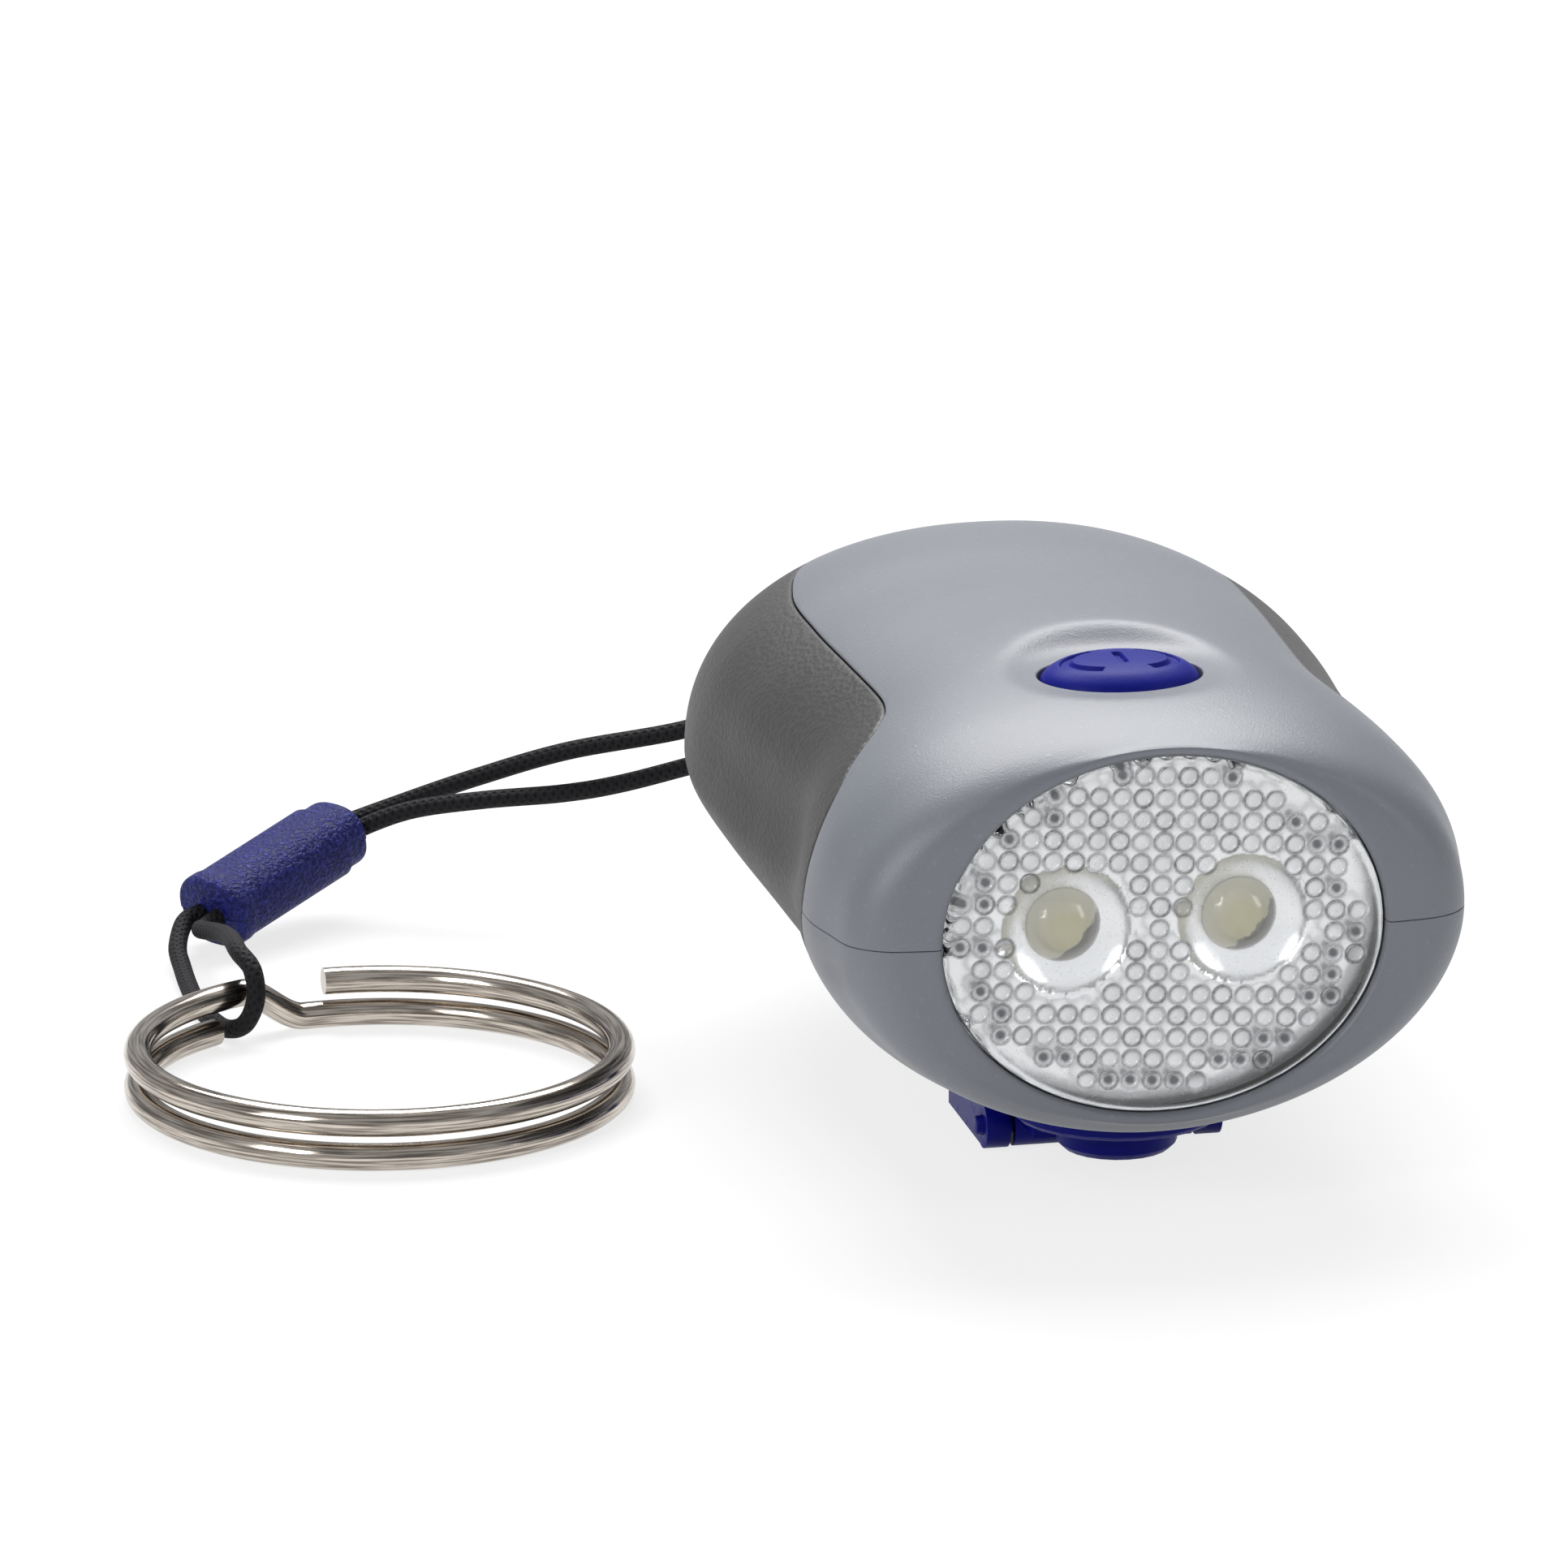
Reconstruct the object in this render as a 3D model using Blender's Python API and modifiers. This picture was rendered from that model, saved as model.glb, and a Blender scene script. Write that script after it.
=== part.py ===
"""Keyring torch with a folding dynamo crank, built as separate parts in one frame.

Lengths below are millimetres. They are written in the lens frame: X to the right, Y backwards
from the front rim, Z up from the body's axis. The scene is in metres and its origin is on the
floor under the middle of the body, so every point goes through place().
"""
import math
import bpy
import bmesh
import numpy as np
from mathutils import Matrix, Vector

MM = 0.001

# Body
BODY_LENGTH = 61.0
BODY_HALF_WIDTH = 20.25
AXIS_HEIGHT = 17.8
WALL = 2.0
SEAM_GAP = 0.2
SEAT_GAP = 0.25
RUN_GAP = 0.06

# Lens and light
LENS_HALF_WIDTH = 13.37
LENS_HALF_HEIGHT = 10.88
LENS_FLANGE = 0.8
LED_RADIUS = 2.5
LED_SPACING = 10.86

# Button and switch
BUTTON_CENTRE_Y = 12.0
BUTTON_HALF_X = 4.95
BUTTON_HALF_Y = 3.9

# Crank
HUB_Y = 12.0
HINGE_BACK = 4.2
HINGE_Z = -16.3
HINGE_ABOVE_ARM = 1.5
HINGE_PIN_RADIUS = 0.6
LUG_RADIUS = 1.45
LUG_THICKNESS = 1.5
LUG_OUTER_X = 7.4
FLANGE_RADIUS = 6.6
POCKET_CLEARANCE = 0.4
SHAFT_RADIUS = 2.5
CRANK_RADIUS = 27.0
ARM_THICKNESS = 2.4
KNOB_RADIUS = 3.4

# Gear train
TRAIN_LENGTH = 28.8
WHEEL_TEETH = 24
PINION_TEETH = 8
AXLE_RADIUS = 0.75
POST_RADIUS = 1.3
POST_PAST_TIP = 0.62
PLATE_BOTTOM = -4.0
PLATE_THICKNESS = 1.0

# Strap
CORD_RADIUS = 0.6
STRAP_PIN_RADIUS = 1.2
RING_RADIUS = 14.95
RING_WIRE_RADIUS = 0.85
LOCK_LENGTH = 12.4

AROUND = 32
ROUND = 24
SMALL = 12


# Outline of the body: distance, half width, height above and depth below the axis, two roundness
# values. The stations behind the front end are stretched with the body's length.
FRONT = [(0.0, 14.25, 11.7, 11.7, 2.0, 2.0), (0.5, 17.1, 11.75, 11.9, 2.03, 1.98),
         (2.0, 18.84, 12.2, 12.8, 2.08, 1.94), (4.5, 19.51, 12.83, 13.35, 2.14, 1.91),
         (8.0, 20.1, 13.43, 13.91, 2.17, 1.89), (13.0, 19.82, 13.95, 14.37, 2.17, 1.89),
         (19.0, 18.95, 14.3, 14.2, 2.17, 1.89), (26.0, 19.44, 14.2, 12.7, 2.17, 1.89)]
REAR = [(34.0, BODY_HALF_WIDTH, 13.95, 10.2, 2.17, 1.89), (42.0, BODY_HALF_WIDTH, 13.7, 8.2, 2.17, 1.89),
        (50.0, 18.42, 12.5, 7.2, 2.17, 1.89), (56.0, 13.95, 9.3, 6.0, 2.17, 1.89),
        (59.5, 9.14, 6.3, 4.2, 2.1, 1.95), (61.0, 0.0, 0.0, 0.0, 2.0, 2.0)]


def along(y):
    """Distance y of the outline table, stretched behind the crank's hub to the body's length."""
    if y < HUB_Y:
        return y
    return HUB_Y + (y - HUB_Y) * (BODY_LENGTH - HUB_Y) / (REAR[-1][0] - HUB_Y)


# Three equal steps of wheel and pinion reach from the hub to the rotor, which sets the tooth size
HINGE_Y = HUB_Y + HINGE_BACK
CENTRES = (along(HUB_Y + TRAIN_LENGTH) - HUB_Y) / 3
GEAR_MODULE = 2 * CENTRES / (WHEEL_TEETH + PINION_TEETH)
WHEEL_TIP = GEAR_MODULE * (WHEEL_TEETH / 2 + 0.8)
GEAR_Y = [HUB_Y, HUB_Y + CENTRES, HUB_Y + 2 * CENTRES, HUB_Y + 3 * CENTRES]
KNOB_Y = HUB_Y + CRANK_RADIUS
STRAP_Y = BODY_LENGTH - 3.2
PLATE_TOP = PLATE_BOTTOM + PLATE_THICKNESS
TAIL_START = along(34.0)

# The generator keeps 1 mm from the next wheel's centre line, and the cell fills the room before it
STATOR_RADIUS = CENTRES - 1.0
HOLDER_FRONT = 12.2
HOLDER_RADIUS = (GEAR_Y[3] - STATOR_RADIUS - 2.0 - HOLDER_FRONT) / 2
CELL_RADIUS = HOLDER_RADIUS - 1.0
CELL_Y = HOLDER_FRONT + HOLDER_RADIUS
BOARD_HOLE_X = 7.6
BOARD_HOLE_Y = (along(17.0), along(30.0))

for old in list(bpy.data.objects):
    bpy.data.objects.remove(old, do_unlink=True)

parts = bpy.data.collections.new("dynamo_torch")
cutters = bpy.data.collections.new("cutters")
bpy.context.scene.collection.children.link(parts)
bpy.context.scene.collection.children.link(cutters)


def place(x, y, z):
    """A point of the lens frame in millimetres as a point of the scene in metres."""
    return Vector((x * MM, (y - BODY_LENGTH / 2) * MM, (AXIS_HEIGHT + z) * MM))


def on_floor(x, y, height):
    """A point whose height is measured from the floor, for what lies beside the torch."""
    return place(x, y, height - AXIS_HEIGHT)


def material(name, colour, roughness, metallic=0.0):
    made = bpy.data.materials.new(name)
    made.use_nodes = True
    shader = made.node_tree.nodes["Principled BSDF"]
    shader.inputs["Base Color"].default_value = (*colour, 1.0)
    shader.inputs["Roughness"].default_value = roughness
    shader.inputs["Metallic"].default_value = metallic
    made.diffuse_color = (*colour, 1.0)
    return made


def add(name, data, pivot=None, tool=False):
    """Object made of mesh data in scene coordinates, its origin moved to the pivot."""
    made = bpy.data.objects.new(name, data)
    if tool:
        cutters.objects.link(made)
        made.hide_render = True
        made.display_type = "WIRE"
    else:
        parts.objects.link(made)
    if pivot is not None:
        data.transform(Matrix.Translation(-pivot))
        made.location = pivot
    return made


def finish(bm, name):
    data = bpy.data.meshes.new(name)
    bmesh.ops.recalc_face_normals(bm, faces=bm.faces)
    bm.to_mesh(data)
    bm.free()
    return data


def cylinders(name, rows, axis="Z", segments=ROUND):
    """Closed cylinders in one mesh; a row is radius, low end, high end and the two other coordinates."""
    bm = bmesh.new()
    for radius, low, high, first, second in rows:
        middle = (low + high) / 2
        if axis == "Z":
            move = Matrix.Translation(place(first, second, middle))
        elif axis == "X":
            move = Matrix.Translation(place(middle, first, second)) @ Matrix.Rotation(math.pi / 2, 4, "Y")
        else:
            move = Matrix.Translation(place(first, middle, second)) @ Matrix.Rotation(math.pi / 2, 4, "X")
        bmesh.ops.create_cone(bm, cap_ends=True, segments=segments, radius1=radius * MM,
                              radius2=radius * MM, depth=(high - low) * MM, matrix=move)
    return finish(bm, name)


def boxes(name, rows):
    """Closed boxes in one mesh; a row is x0, x1, y0, y1, z0, z1."""
    bm = bmesh.new()
    for x0, x1, y0, y1, z0, z1 in rows:
        middle = place((x0 + x1) / 2, (y0 + y1) / 2, (z0 + z1) / 2)
        scale = Matrix.Diagonal(((x1 - x0) * MM, (y1 - y0) * MM, (z1 - z0) * MM, 1))
        bmesh.ops.create_cube(bm, size=1.0, matrix=Matrix.Translation(middle) @ scale)
    return finish(bm, name)


def evaluated(made):
    """Mesh of an object with its modifiers, in scene coordinates; the object goes."""
    bpy.context.view_layer.update()
    graph = bpy.context.evaluated_depsgraph_get()
    data = bpy.data.meshes.new_from_object(made.evaluated_get(graph))
    data.transform(made.matrix_world)
    bm = bmesh.new()
    bm.from_mesh(data)
    bmesh.ops.remove_doubles(bm, verts=bm.verts, dist=0.000002)
    bmesh.ops.recalc_face_normals(bm, faces=bm.faces)
    bm.to_mesh(data)
    bm.free()
    data.name = made.name
    bpy.data.objects.remove(made, do_unlink=True)
    return data


def turned(name, profile, x, y, steps=ROUND, closed=False):
    """Round piece about a vertical line; the profile of (radius, z) runs down its outer side."""
    data = bpy.data.meshes.new(name)
    points = [(radius * MM, 0.0, z * MM) for radius, z in profile]
    edges = [(i, i + 1) for i in range(len(points) - 1)]
    if closed:
        edges.append((len(points) - 1, 0))
    data.from_pydata(points, edges, [])
    made = add(name, data)
    made.location = place(x, y, 0)
    screw = made.modifiers.new("Turn", "SCREW")
    screw.axis = "Z"
    screw.steps = steps
    screw.render_steps = steps
    screw.use_merge_vertices = True
    screw.merge_threshold = 0.00001
    return evaluated(made)


def prism(name, outlines, low, high, side_view=False):
    """Flat outlines (x, y) or, in side view, (y, z), given thickness as a filled 2-D curve."""
    curve = bpy.data.curves.new(name, "CURVE")
    curve.dimensions = "2D"
    curve.fill_mode = "BOTH"
    curve.extrude = (high - low) / 2 * MM
    lift = AXIS_HEIGHT if side_view else 0.0
    for outline in outlines:
        spline = curve.splines.new("POLY")
        spline.points.add(len(outline) - 1)
        for point, (a, b) in zip(spline.points, outline):
            point.co = (a * MM, (lift + b) * MM, 0, 1)
        spline.use_cyclic_u = True
    made = add(name, curve)
    middle = (low + high) / 2
    if side_view:
        turn = Matrix(((0, 0, 1, 0), (1, 0, 0, 0), (0, 1, 0, 0), (0, 0, 0, 1)))
        made.matrix_world = Matrix.Translation(place(middle, 0, -lift)) @ turn
    else:
        made.location = place(0, 0, middle)
    data = evaluated(made)
    bm = bmesh.new()
    bm.from_mesh(data)
    bmesh.ops.dissolve_limit(bm, angle_limit=0.001, verts=bm.verts, edges=bm.edges)
    bm.to_mesh(data)
    bm.free()
    return data


def loft(name, sections, close_start=True, close_end=True):
    """Skin over sections of equal point count, with flat or pointed ends."""
    points = []
    faces = []
    rows = []
    for section in sections:
        rows.append(list(range(len(points), len(points) + len(section))))
        points.extend(section)
    for near, far in zip(rows, rows[1:]):
        if len(far) == 1:
            for k in range(len(near)):
                faces.append((near[k], near[(k + 1) % len(near)], far[0]))
        else:
            for k in range(len(near)):
                after = (k + 1) % len(near)
                faces.append((near[k], near[after], far[after], far[k]))
    if close_start:
        faces.append(tuple(reversed(rows[0])))
    if close_end and len(rows[-1]) > 1:
        faces.append(tuple(rows[-1]))
    data = bpy.data.meshes.new(name)
    data.from_pydata([tuple(point) for point in points], [], faces)
    bm = bmesh.new()
    bm.from_mesh(data)
    bmesh.ops.recalc_face_normals(bm, faces=bm.faces)
    bm.to_mesh(data)
    bm.free()
    return data


def combine(made, operation, data):
    """Live exact Boolean of a part with a tool mesh kept in the cutters collection."""
    tool = add(made.name + "_" + data.name, data, tool=True)
    step = made.modifiers.new(data.name, "BOOLEAN")
    step.operation = operation
    step.solver = "EXACT"
    step.object = tool
    return tool


def cut(made, data):
    return combine(made, "DIFFERENCE", data)


def fuse(made, data):
    return combine(made, "UNION", data)


def arc(cx, cy, radius, start, end, count):
    """Points on a circle from one angle to another in degrees."""
    return [(cx + radius * math.cos(math.radians(a)), cy + radius * math.sin(math.radians(a)))
            for a in np.linspace(start, end, count)]


def rounded_box(x0, x1, y0, y1, radius, count=4):
    return (arc(x1 - radius, y1 - radius, radius, 0, 90, count)
            + arc(x0 + radius, y1 - radius, radius, 90, 180, count)
            + arc(x0 + radius, y0 + radius, radius, 180, 270, count)
            + arc(x1 - radius, y0 + radius, radius, 270, 360, count))


def smooth_curve(points, per_span):
    """Catmull-Rom points through the given ones."""
    given = np.array([tuple(point) for point in points], float)
    ends = np.vstack([2 * given[0] - given[1], given, 2 * given[-1] - given[-2]])
    found = []
    for i in range(1, len(ends) - 2):
        a, b, c, d = ends[i - 1], ends[i], ends[i + 1], ends[i + 2]
        for t in np.linspace(0, 1, per_span, endpoint=False):
            found.append(0.5 * (2 * b + (c - a) * t + (2 * a - 5 * b + 4 * c - d) * t ** 2
                                + (3 * b - a - 3 * c + d) * t ** 3))
    found.append(ends[-2])
    return np.array(found)


def cord_points(route):
    """Points of a smooth cord, closer together where it bends."""
    fine = smooth_curve(route, 12)
    kept = [fine[0]]
    heading = None
    for before, point in zip(fine[:-1], fine[1:]):
        step = (point - before) / np.linalg.norm(point - before)
        if heading is None:
            heading = step
        turned_by = math.degrees(math.acos(min(1.0, float(step @ heading))))
        gone = float(np.linalg.norm(point - kept[-1]))
        if gone > 3.4 or (turned_by > 19 and gone > 0.7):
            kept.append(point)
            heading = step
    if np.linalg.norm(kept[-1] - fine[-1]) < 1.0:
        kept.pop()
    kept.append(fine[-1])
    return np.array(kept)


STATIONS = [(along(y), *rest) for y, *rest in FRONT + REAR]


def station_curve(count):
    """Stations read along a smooth curve whose last span closes square to the axis."""
    given = np.array(STATIONS)
    mirrored = given[-2].copy()
    mirrored[1:4] *= -1
    ends = np.vstack([2 * given[0] - given[1], given, mirrored])
    found = []
    for i in range(1, len(ends) - 2):
        a, b, c, d = ends[i - 1], ends[i], ends[i + 1], ends[i + 2]
        spans = count
        if i == 1:
            spans = 1
        if i >= len(ends) - 4:
            spans = count + 1
        for t in np.linspace(0, 1, spans, endpoint=False):
            found.append(0.5 * (2 * b + (c - a) * t + (2 * a - 5 * b + 4 * c - d) * t ** 2
                                + (3 * b - a - 3 * c + d) * t ** 3))
    found.append(given[-1])
    return np.array(found)


def body_sections(inset, low=None, high=None, count=2):
    """Superellipse sections of the body drawn in by the inset, between two distances."""
    sections = []
    table = station_curve(count)
    if low is not None:
        columns = [np.interp([low, high], table[:, 0], table[:, k]) for k in range(1, 6)]
        limits = np.array([[low, *[c[0] for c in columns]], [high, *[c[1] for c in columns]]])
        keep = table[(table[:, 0] > low + 0.6) & (table[:, 0] < high - 0.6)]
        table = np.vstack([limits[:1], keep, limits[1:]])
    angle = (np.arange(AROUND) + 0.5) / AROUND * 2 * math.pi
    for y, width, up, down, n_up, n_down in table:
        y -= inset * max(0.0, (y - TAIL_START) / (BODY_LENGTH - TAIL_START)) ** 3
        if width - inset <= 0.6 or min(up, down) - inset <= 0.6:
            sections.append([place(0, BODY_LENGTH - inset, 0)])
            break
        section = []
        for a in angle:
            n = n_up if a < math.pi else n_down
            reach = up if a < math.pi else down
            x = (width - inset) * math.copysign(abs(math.cos(a)) ** (2 / n), math.cos(a))
            z = (reach - inset) * math.copysign(abs(math.sin(a)) ** (2 / n), math.sin(a))
            section.append(place(x, y, z))
        sections.append(section)
    return sections


def ellipse_prism(name, half_x, half_z, low, high, steps=36):
    """Solid with an elliptic section across the body, from one distance to another."""
    sections = []
    for y in (low, high):
        sections.append([place(half_x * math.cos(a), y, half_z * math.sin(a))
                         for a in np.linspace(0, 2 * math.pi, steps, endpoint=False)])
    return loft(name, sections)


# Materials by slot
SHELL_GREY = material("shell_grey", (0.13, 0.13, 0.14), 0.55)
GRIP_GREY = material("grip_dark", (0.045, 0.042, 0.042), 0.6)
CRANK_BLUE = material("crank_blue", (0.01, 0.02, 0.28), 0.35)
BUTTON_BLUE = material("button_blue", (0.02, 0.05, 0.42), 0.45)
CLEAR = material("lens_clear", (0.85, 0.86, 0.88), 0.08)
SILVER = material("reflector_silver", (0.75, 0.75, 0.76), 0.15, 1.0)
LED_CLEAR = material("led_clear", (0.8, 0.82, 0.8), 0.1)
BOARD = material("board_green", (0.03, 0.16, 0.06), 0.5)
SWITCH_BLACK = material("switch_black", (0.02, 0.02, 0.02), 0.4)
CELL_STEEL = material("cell_steel", (0.6, 0.6, 0.58), 0.3, 1.0)
HOLDER = material("holder_black", (0.03, 0.03, 0.03), 0.5)
STEEL = material("steel", (0.5, 0.5, 0.5), 0.35, 1.0)
GEAR_WHITE = material("gear_white", (0.75, 0.74, 0.7), 0.45)
MAGNET = material("magnet_dark", (0.08, 0.08, 0.09), 0.4, 0.4)
COPPER = material("coil_copper", (0.55, 0.22, 0.1), 0.35, 1.0)
BRASS = material("bush_brass", (0.6, 0.42, 0.15), 0.3, 1.0)
RING_STEEL = material("ring_nickel", (0.6, 0.57, 0.53), 0.2, 1.0)
CORD_BLACK = material("cord_black", (0.012, 0.012, 0.014), 0.8)
LOCK_BLUE = material("lock_blue", (0.012, 0.025, 0.2), 0.5)


def paint(made, slot):
    made.data.materials.clear()
    made.data.materials.append(slot)
    return made


# Shells: one outer skin, split at the axis height, hollow inside
SCREW_AT = [(12.2, along(25.0)), (12.0, along(44.0))]
SCREWS = [(side * x, y) for x, y in SCREW_AT for side in (-1, 1)]
POST_X = WHEEL_TIP + POST_PAST_TIP
POSTS = [(side * POST_X, y) for y in (along(16.2), along(47.6)) for side in (-1, 1)]
BOARD_HOLES = [(side * BOARD_HOLE_X, y) for y in BOARD_HOLE_Y for side in (-1, 1)]
CAVITY_FRONT = 4.2
CAVITY_REAR = BODY_LENGTH - 8.8
GRIP_SINK = 1.05
FLANGE_FRONT = 2.0


def grip_outline(grow):
    """Side view (y, z) of the soft panel, grown outwards by the given amount."""
    tail = BODY_LENGTH + 3
    top = 10.6 + grow
    low = grow
    points = [(tail, top), (along(36.0), top), (16.2 - low, top), (14.2 - low, 10.1 + low),
              (13.1 - low, 9.4 + low), (12.2 - low, 8.4), (10.7 - low, 6.9), (9.8 - low, 4.9),
              (9.5 - low, 2.8), (9.7 - low, 0.8), (10.8 - low, -2.0 - low / 2), (12.8 - low, -4.6 - low),
              (16.0 - low / 2, -6.5 - low), (along(20.5), -7.4 - low), (along(27.0), -7.4 - low),
              (along(35.0), -6.4 - low), (along(43.0), -4.9 - low), (along(50.0), -3.6 - low),
              (along(56.0), -2.8 - low), (tail, -2.6 - low)]
    return points


for name in ("lower_shell", "upper_shell"):
    upper = name == "upper_shell"
    shell = add(name, loft(name, body_sections(0)))
    paint(shell, SHELL_GREY)
    if upper:
        half = boxes("half", [(-40, 40, -10, BODY_LENGTH + 10, -AXIS_HEIGHT - 30, SEAM_GAP / 2)])
    else:
        half = boxes("half", [(-40, 40, -10, BODY_LENGTH + 10, -SEAM_GAP / 2, 60 - AXIS_HEIGHT)])
    cut(shell, loft("cavity", body_sections(WALL, CAVITY_FRONT, CAVITY_REAR, count=1)))
    cut(shell, ellipse_prism("mouth", LENS_HALF_WIDTH + 0.3, LENS_HALF_HEIGHT + 0.3, -3.0, 3.0))
    cut(shell, ellipse_prism("lens_groove", LENS_HALF_WIDTH + LENS_FLANGE + SEAT_GAP,
                             LENS_HALF_HEIGHT + LENS_FLANGE + SEAT_GAP, FLANGE_FRONT, CAVITY_FRONT + 0.7))
    for side in (-1, 1):
        reach = sorted((side * 4.6, side * 40))
        recess = prism("recess", [grip_outline(SEAT_GAP)], *reach, side_view=True)
        recess_tool = cut(shell, recess)
        core = add("recess_core" + str(side) + name, loft("core", body_sections(GRIP_SINK)), tool=True)
        step = recess_tool.modifiers.new("Core", "BOOLEAN")
        step.operation = "DIFFERENCE"
        step.solver = "EXACT"
        step.object = core
    if upper:
        columns = [(2.0, -1, 8.6, x, y) for x, y in SCREWS]
        fuse(shell, cylinders("columns", columns, segments=SMALL))
        board_posts = [(1.3, 8.1, 11.7, x, y) for x, y in BOARD_HOLES]
        fuse(shell, cylinders("board_posts", board_posts, segments=SMALL))
        bores = [(1.0, -2, 6.8, x, y) for x, y in SCREWS]
        bores += [(0.55, 7.2, 10.8, x, y) for x, y in BOARD_HOLES]
        cut(shell, cylinders("bores", bores, segments=SMALL))
        dish = turned("dish", [(0, 22.2), (9.2, 22.2), (9.2, 14.8), (7.6, 13.7), (6.4, 13.15), (0, 13.0)],
                      0, BUTTON_CENTRE_Y)
        dish.transform(Matrix.Translation(place(0, BUTTON_CENTRE_Y, 0))
                       @ Matrix.Diagonal((1, 0.84, 1, 1))
                       @ Matrix.Translation(-place(0, BUTTON_CENTRE_Y, 0)))
        cut(shell, dish)
        hole = cylinders("button_hole", [(BUTTON_HALF_X + SEAT_GAP, 9.2, 15.2, 0, BUTTON_CENTRE_Y)])
        squash = (BUTTON_HALF_Y + SEAT_GAP) / (BUTTON_HALF_X + SEAT_GAP)
        hole.transform(Matrix.Translation(place(0, BUTTON_CENTRE_Y, 0))
                       @ Matrix.Diagonal((1, squash, 1, 1))
                       @ Matrix.Translation(-place(0, BUTTON_CENTRE_Y, 0)))
        cut(shell, hole)
    else:
        fuse(shell, cylinders("hub_pad", [(7.7, -13.5, -11.5, 0, HUB_Y)]))
        columns = [(2.0, -8.6 if y < 30 else -5.4, 1, x, y) for x, y in SCREWS]
        fuse(shell, cylinders("columns", columns, segments=SMALL))
        posts = [(POST_RADIUS, -11.8 if y < 30 else -5.4, PLATE_BOTTOM - SEAT_GAP, x, y) for x, y in POSTS]
        fuse(shell, cylinders("posts", posts, segments=SMALL))
        bosses = [(2.0, -13.0, -11.05, 0, GEAR_Y[1]), (2.0, -9.9, -8.05, 0, GEAR_Y[2]),
                  (2.0, -7.6, -5.8, 0, GEAR_Y[3])]
        fuse(shell, cylinders("axle_bosses", bosses, segments=SMALL))
        fuse(shell, boxes("board_slots", [(-12.6, -9.4, 8.9, 12.3, -10.2, -0.8),
                                          (9.4, 12.6, 8.9, 12.3, -10.2, -0.8)]))
        cut(shell, boxes("slots", [(-10.3, 10.3, 9.8, 11.4, -6.6, 7.2)]))
        cut(shell, cylinders("hub_pocket", [(FLANGE_RADIUS + POCKET_CLEARANCE, -19.8, -12.8, 0, HUB_Y)]))
        cut(shell, cylinders("bush_bore", [(3.7, -15.8, -8.8, 0, HUB_Y)]))
        bores = [(1.15, -9.8, 2, x, y) for x, y in SCREWS]
        bores += [(0.65, PLATE_BOTTOM - 1.3, PLATE_BOTTOM + 1, x, y) for x, y in POSTS]
        bores += [(AXLE_RADIUS + 0.05, -12.5, -10.3, 0, GEAR_Y[1]),
                  (AXLE_RADIUS + 0.05, -9.7, -7.8, 0, GEAR_Y[2]),
                  (AXLE_RADIUS + 0.05, -7.3, -5.3, 0, GEAR_Y[3])]
        cut(shell, cylinders("bores", bores, segments=SMALL))
        heads = [(2.1, -AXIS_HEIGHT, -7.2 if y < 30 else -4.2, x, y) for x, y in SCREWS]
        cut(shell, cylinders("head_recesses", heads, segments=SMALL))
    notch = prism("notch", [rounded_box(BODY_LENGTH - 6.8, BODY_LENGTH + 8, -3.7, 3.7, 0.8)],
                  -2.9, 2.9, side_view=True)
    cut(shell, notch)
    cut(shell, cylinders("strap_bore", [(STRAP_PIN_RADIUS + 0.05, -4.7, 4.7, STRAP_Y, 0)],
                         axis="X", segments=SMALL))
    cut(shell, half)

strap_pin = add("strap_pin", cylinders("strap_pin", [(STRAP_PIN_RADIUS, -4.6, 4.6, STRAP_Y, 0)],
                                       axis="X", segments=SMALL))
paint(strap_pin, STEEL)

# Soft grip panels, let into the shells
GRIP_SKIN = 0.8
for side, name in ((-1, "left_grip"), (1, "right_grip")):
    reach = sorted((side * (4.6 + SEAT_GAP), side * 40))
    grip = add(name, prism(name, [grip_outline(0)], *reach, side_view=True))
    step = combine(grip, "INTERSECT", loft("outside", body_sections(0)))
    cut(grip, loft("inside", body_sections(GRIP_SKIN)))
    paint(grip, GRIP_GREY)

# Lens, reflector and lamps
lens = add("lens", ellipse_prism("lens", LENS_HALF_WIDTH, LENS_HALF_HEIGHT, 0.3, 2.5))
fuse(lens, ellipse_prism("flange", LENS_HALF_WIDTH + LENS_FLANGE, LENS_HALF_HEIGHT + LENS_FLANGE,
                         FLANGE_FRONT + SEAT_GAP, 3.0))
paint(lens, CLEAR)

LED_X = LED_SPACING / 2
reflector = add("reflector", ellipse_prism("reflector", LENS_HALF_WIDTH + LENS_FLANGE,
                                           LENS_HALF_HEIGHT + LENS_FLANGE, 3.2, 4.0))
cups = []
cup_holes = []
for side in (-1, 1):
    outer = []
    inner = []
    for y, radius in ((3.6, 4.7), (5.5, 4.4), (8.9, 3.4)):
        outer.append([place(side * LED_X + radius * math.cos(a), y, radius * math.sin(a))
                      for a in np.linspace(0, 2 * math.pi, ROUND, endpoint=False)])
    for y, radius in ((2.6, 4.2), (3.2, 4.0), (5.5, 3.7), (9.4, 2.8)):
        inner.append([place(side * LED_X + radius * math.cos(a), y, radius * math.sin(a))
                      for a in np.linspace(0, 2 * math.pi, ROUND, endpoint=False)])
    cups.append(loft("cup" + str(side), outer))
    cup_holes.append(loft("cup_hole" + str(side), inner))
for cup in cups:
    fuse(reflector, cup)
for hole in cup_holes:
    cut(reflector, hole)
paint(reflector, SILVER)

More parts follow.
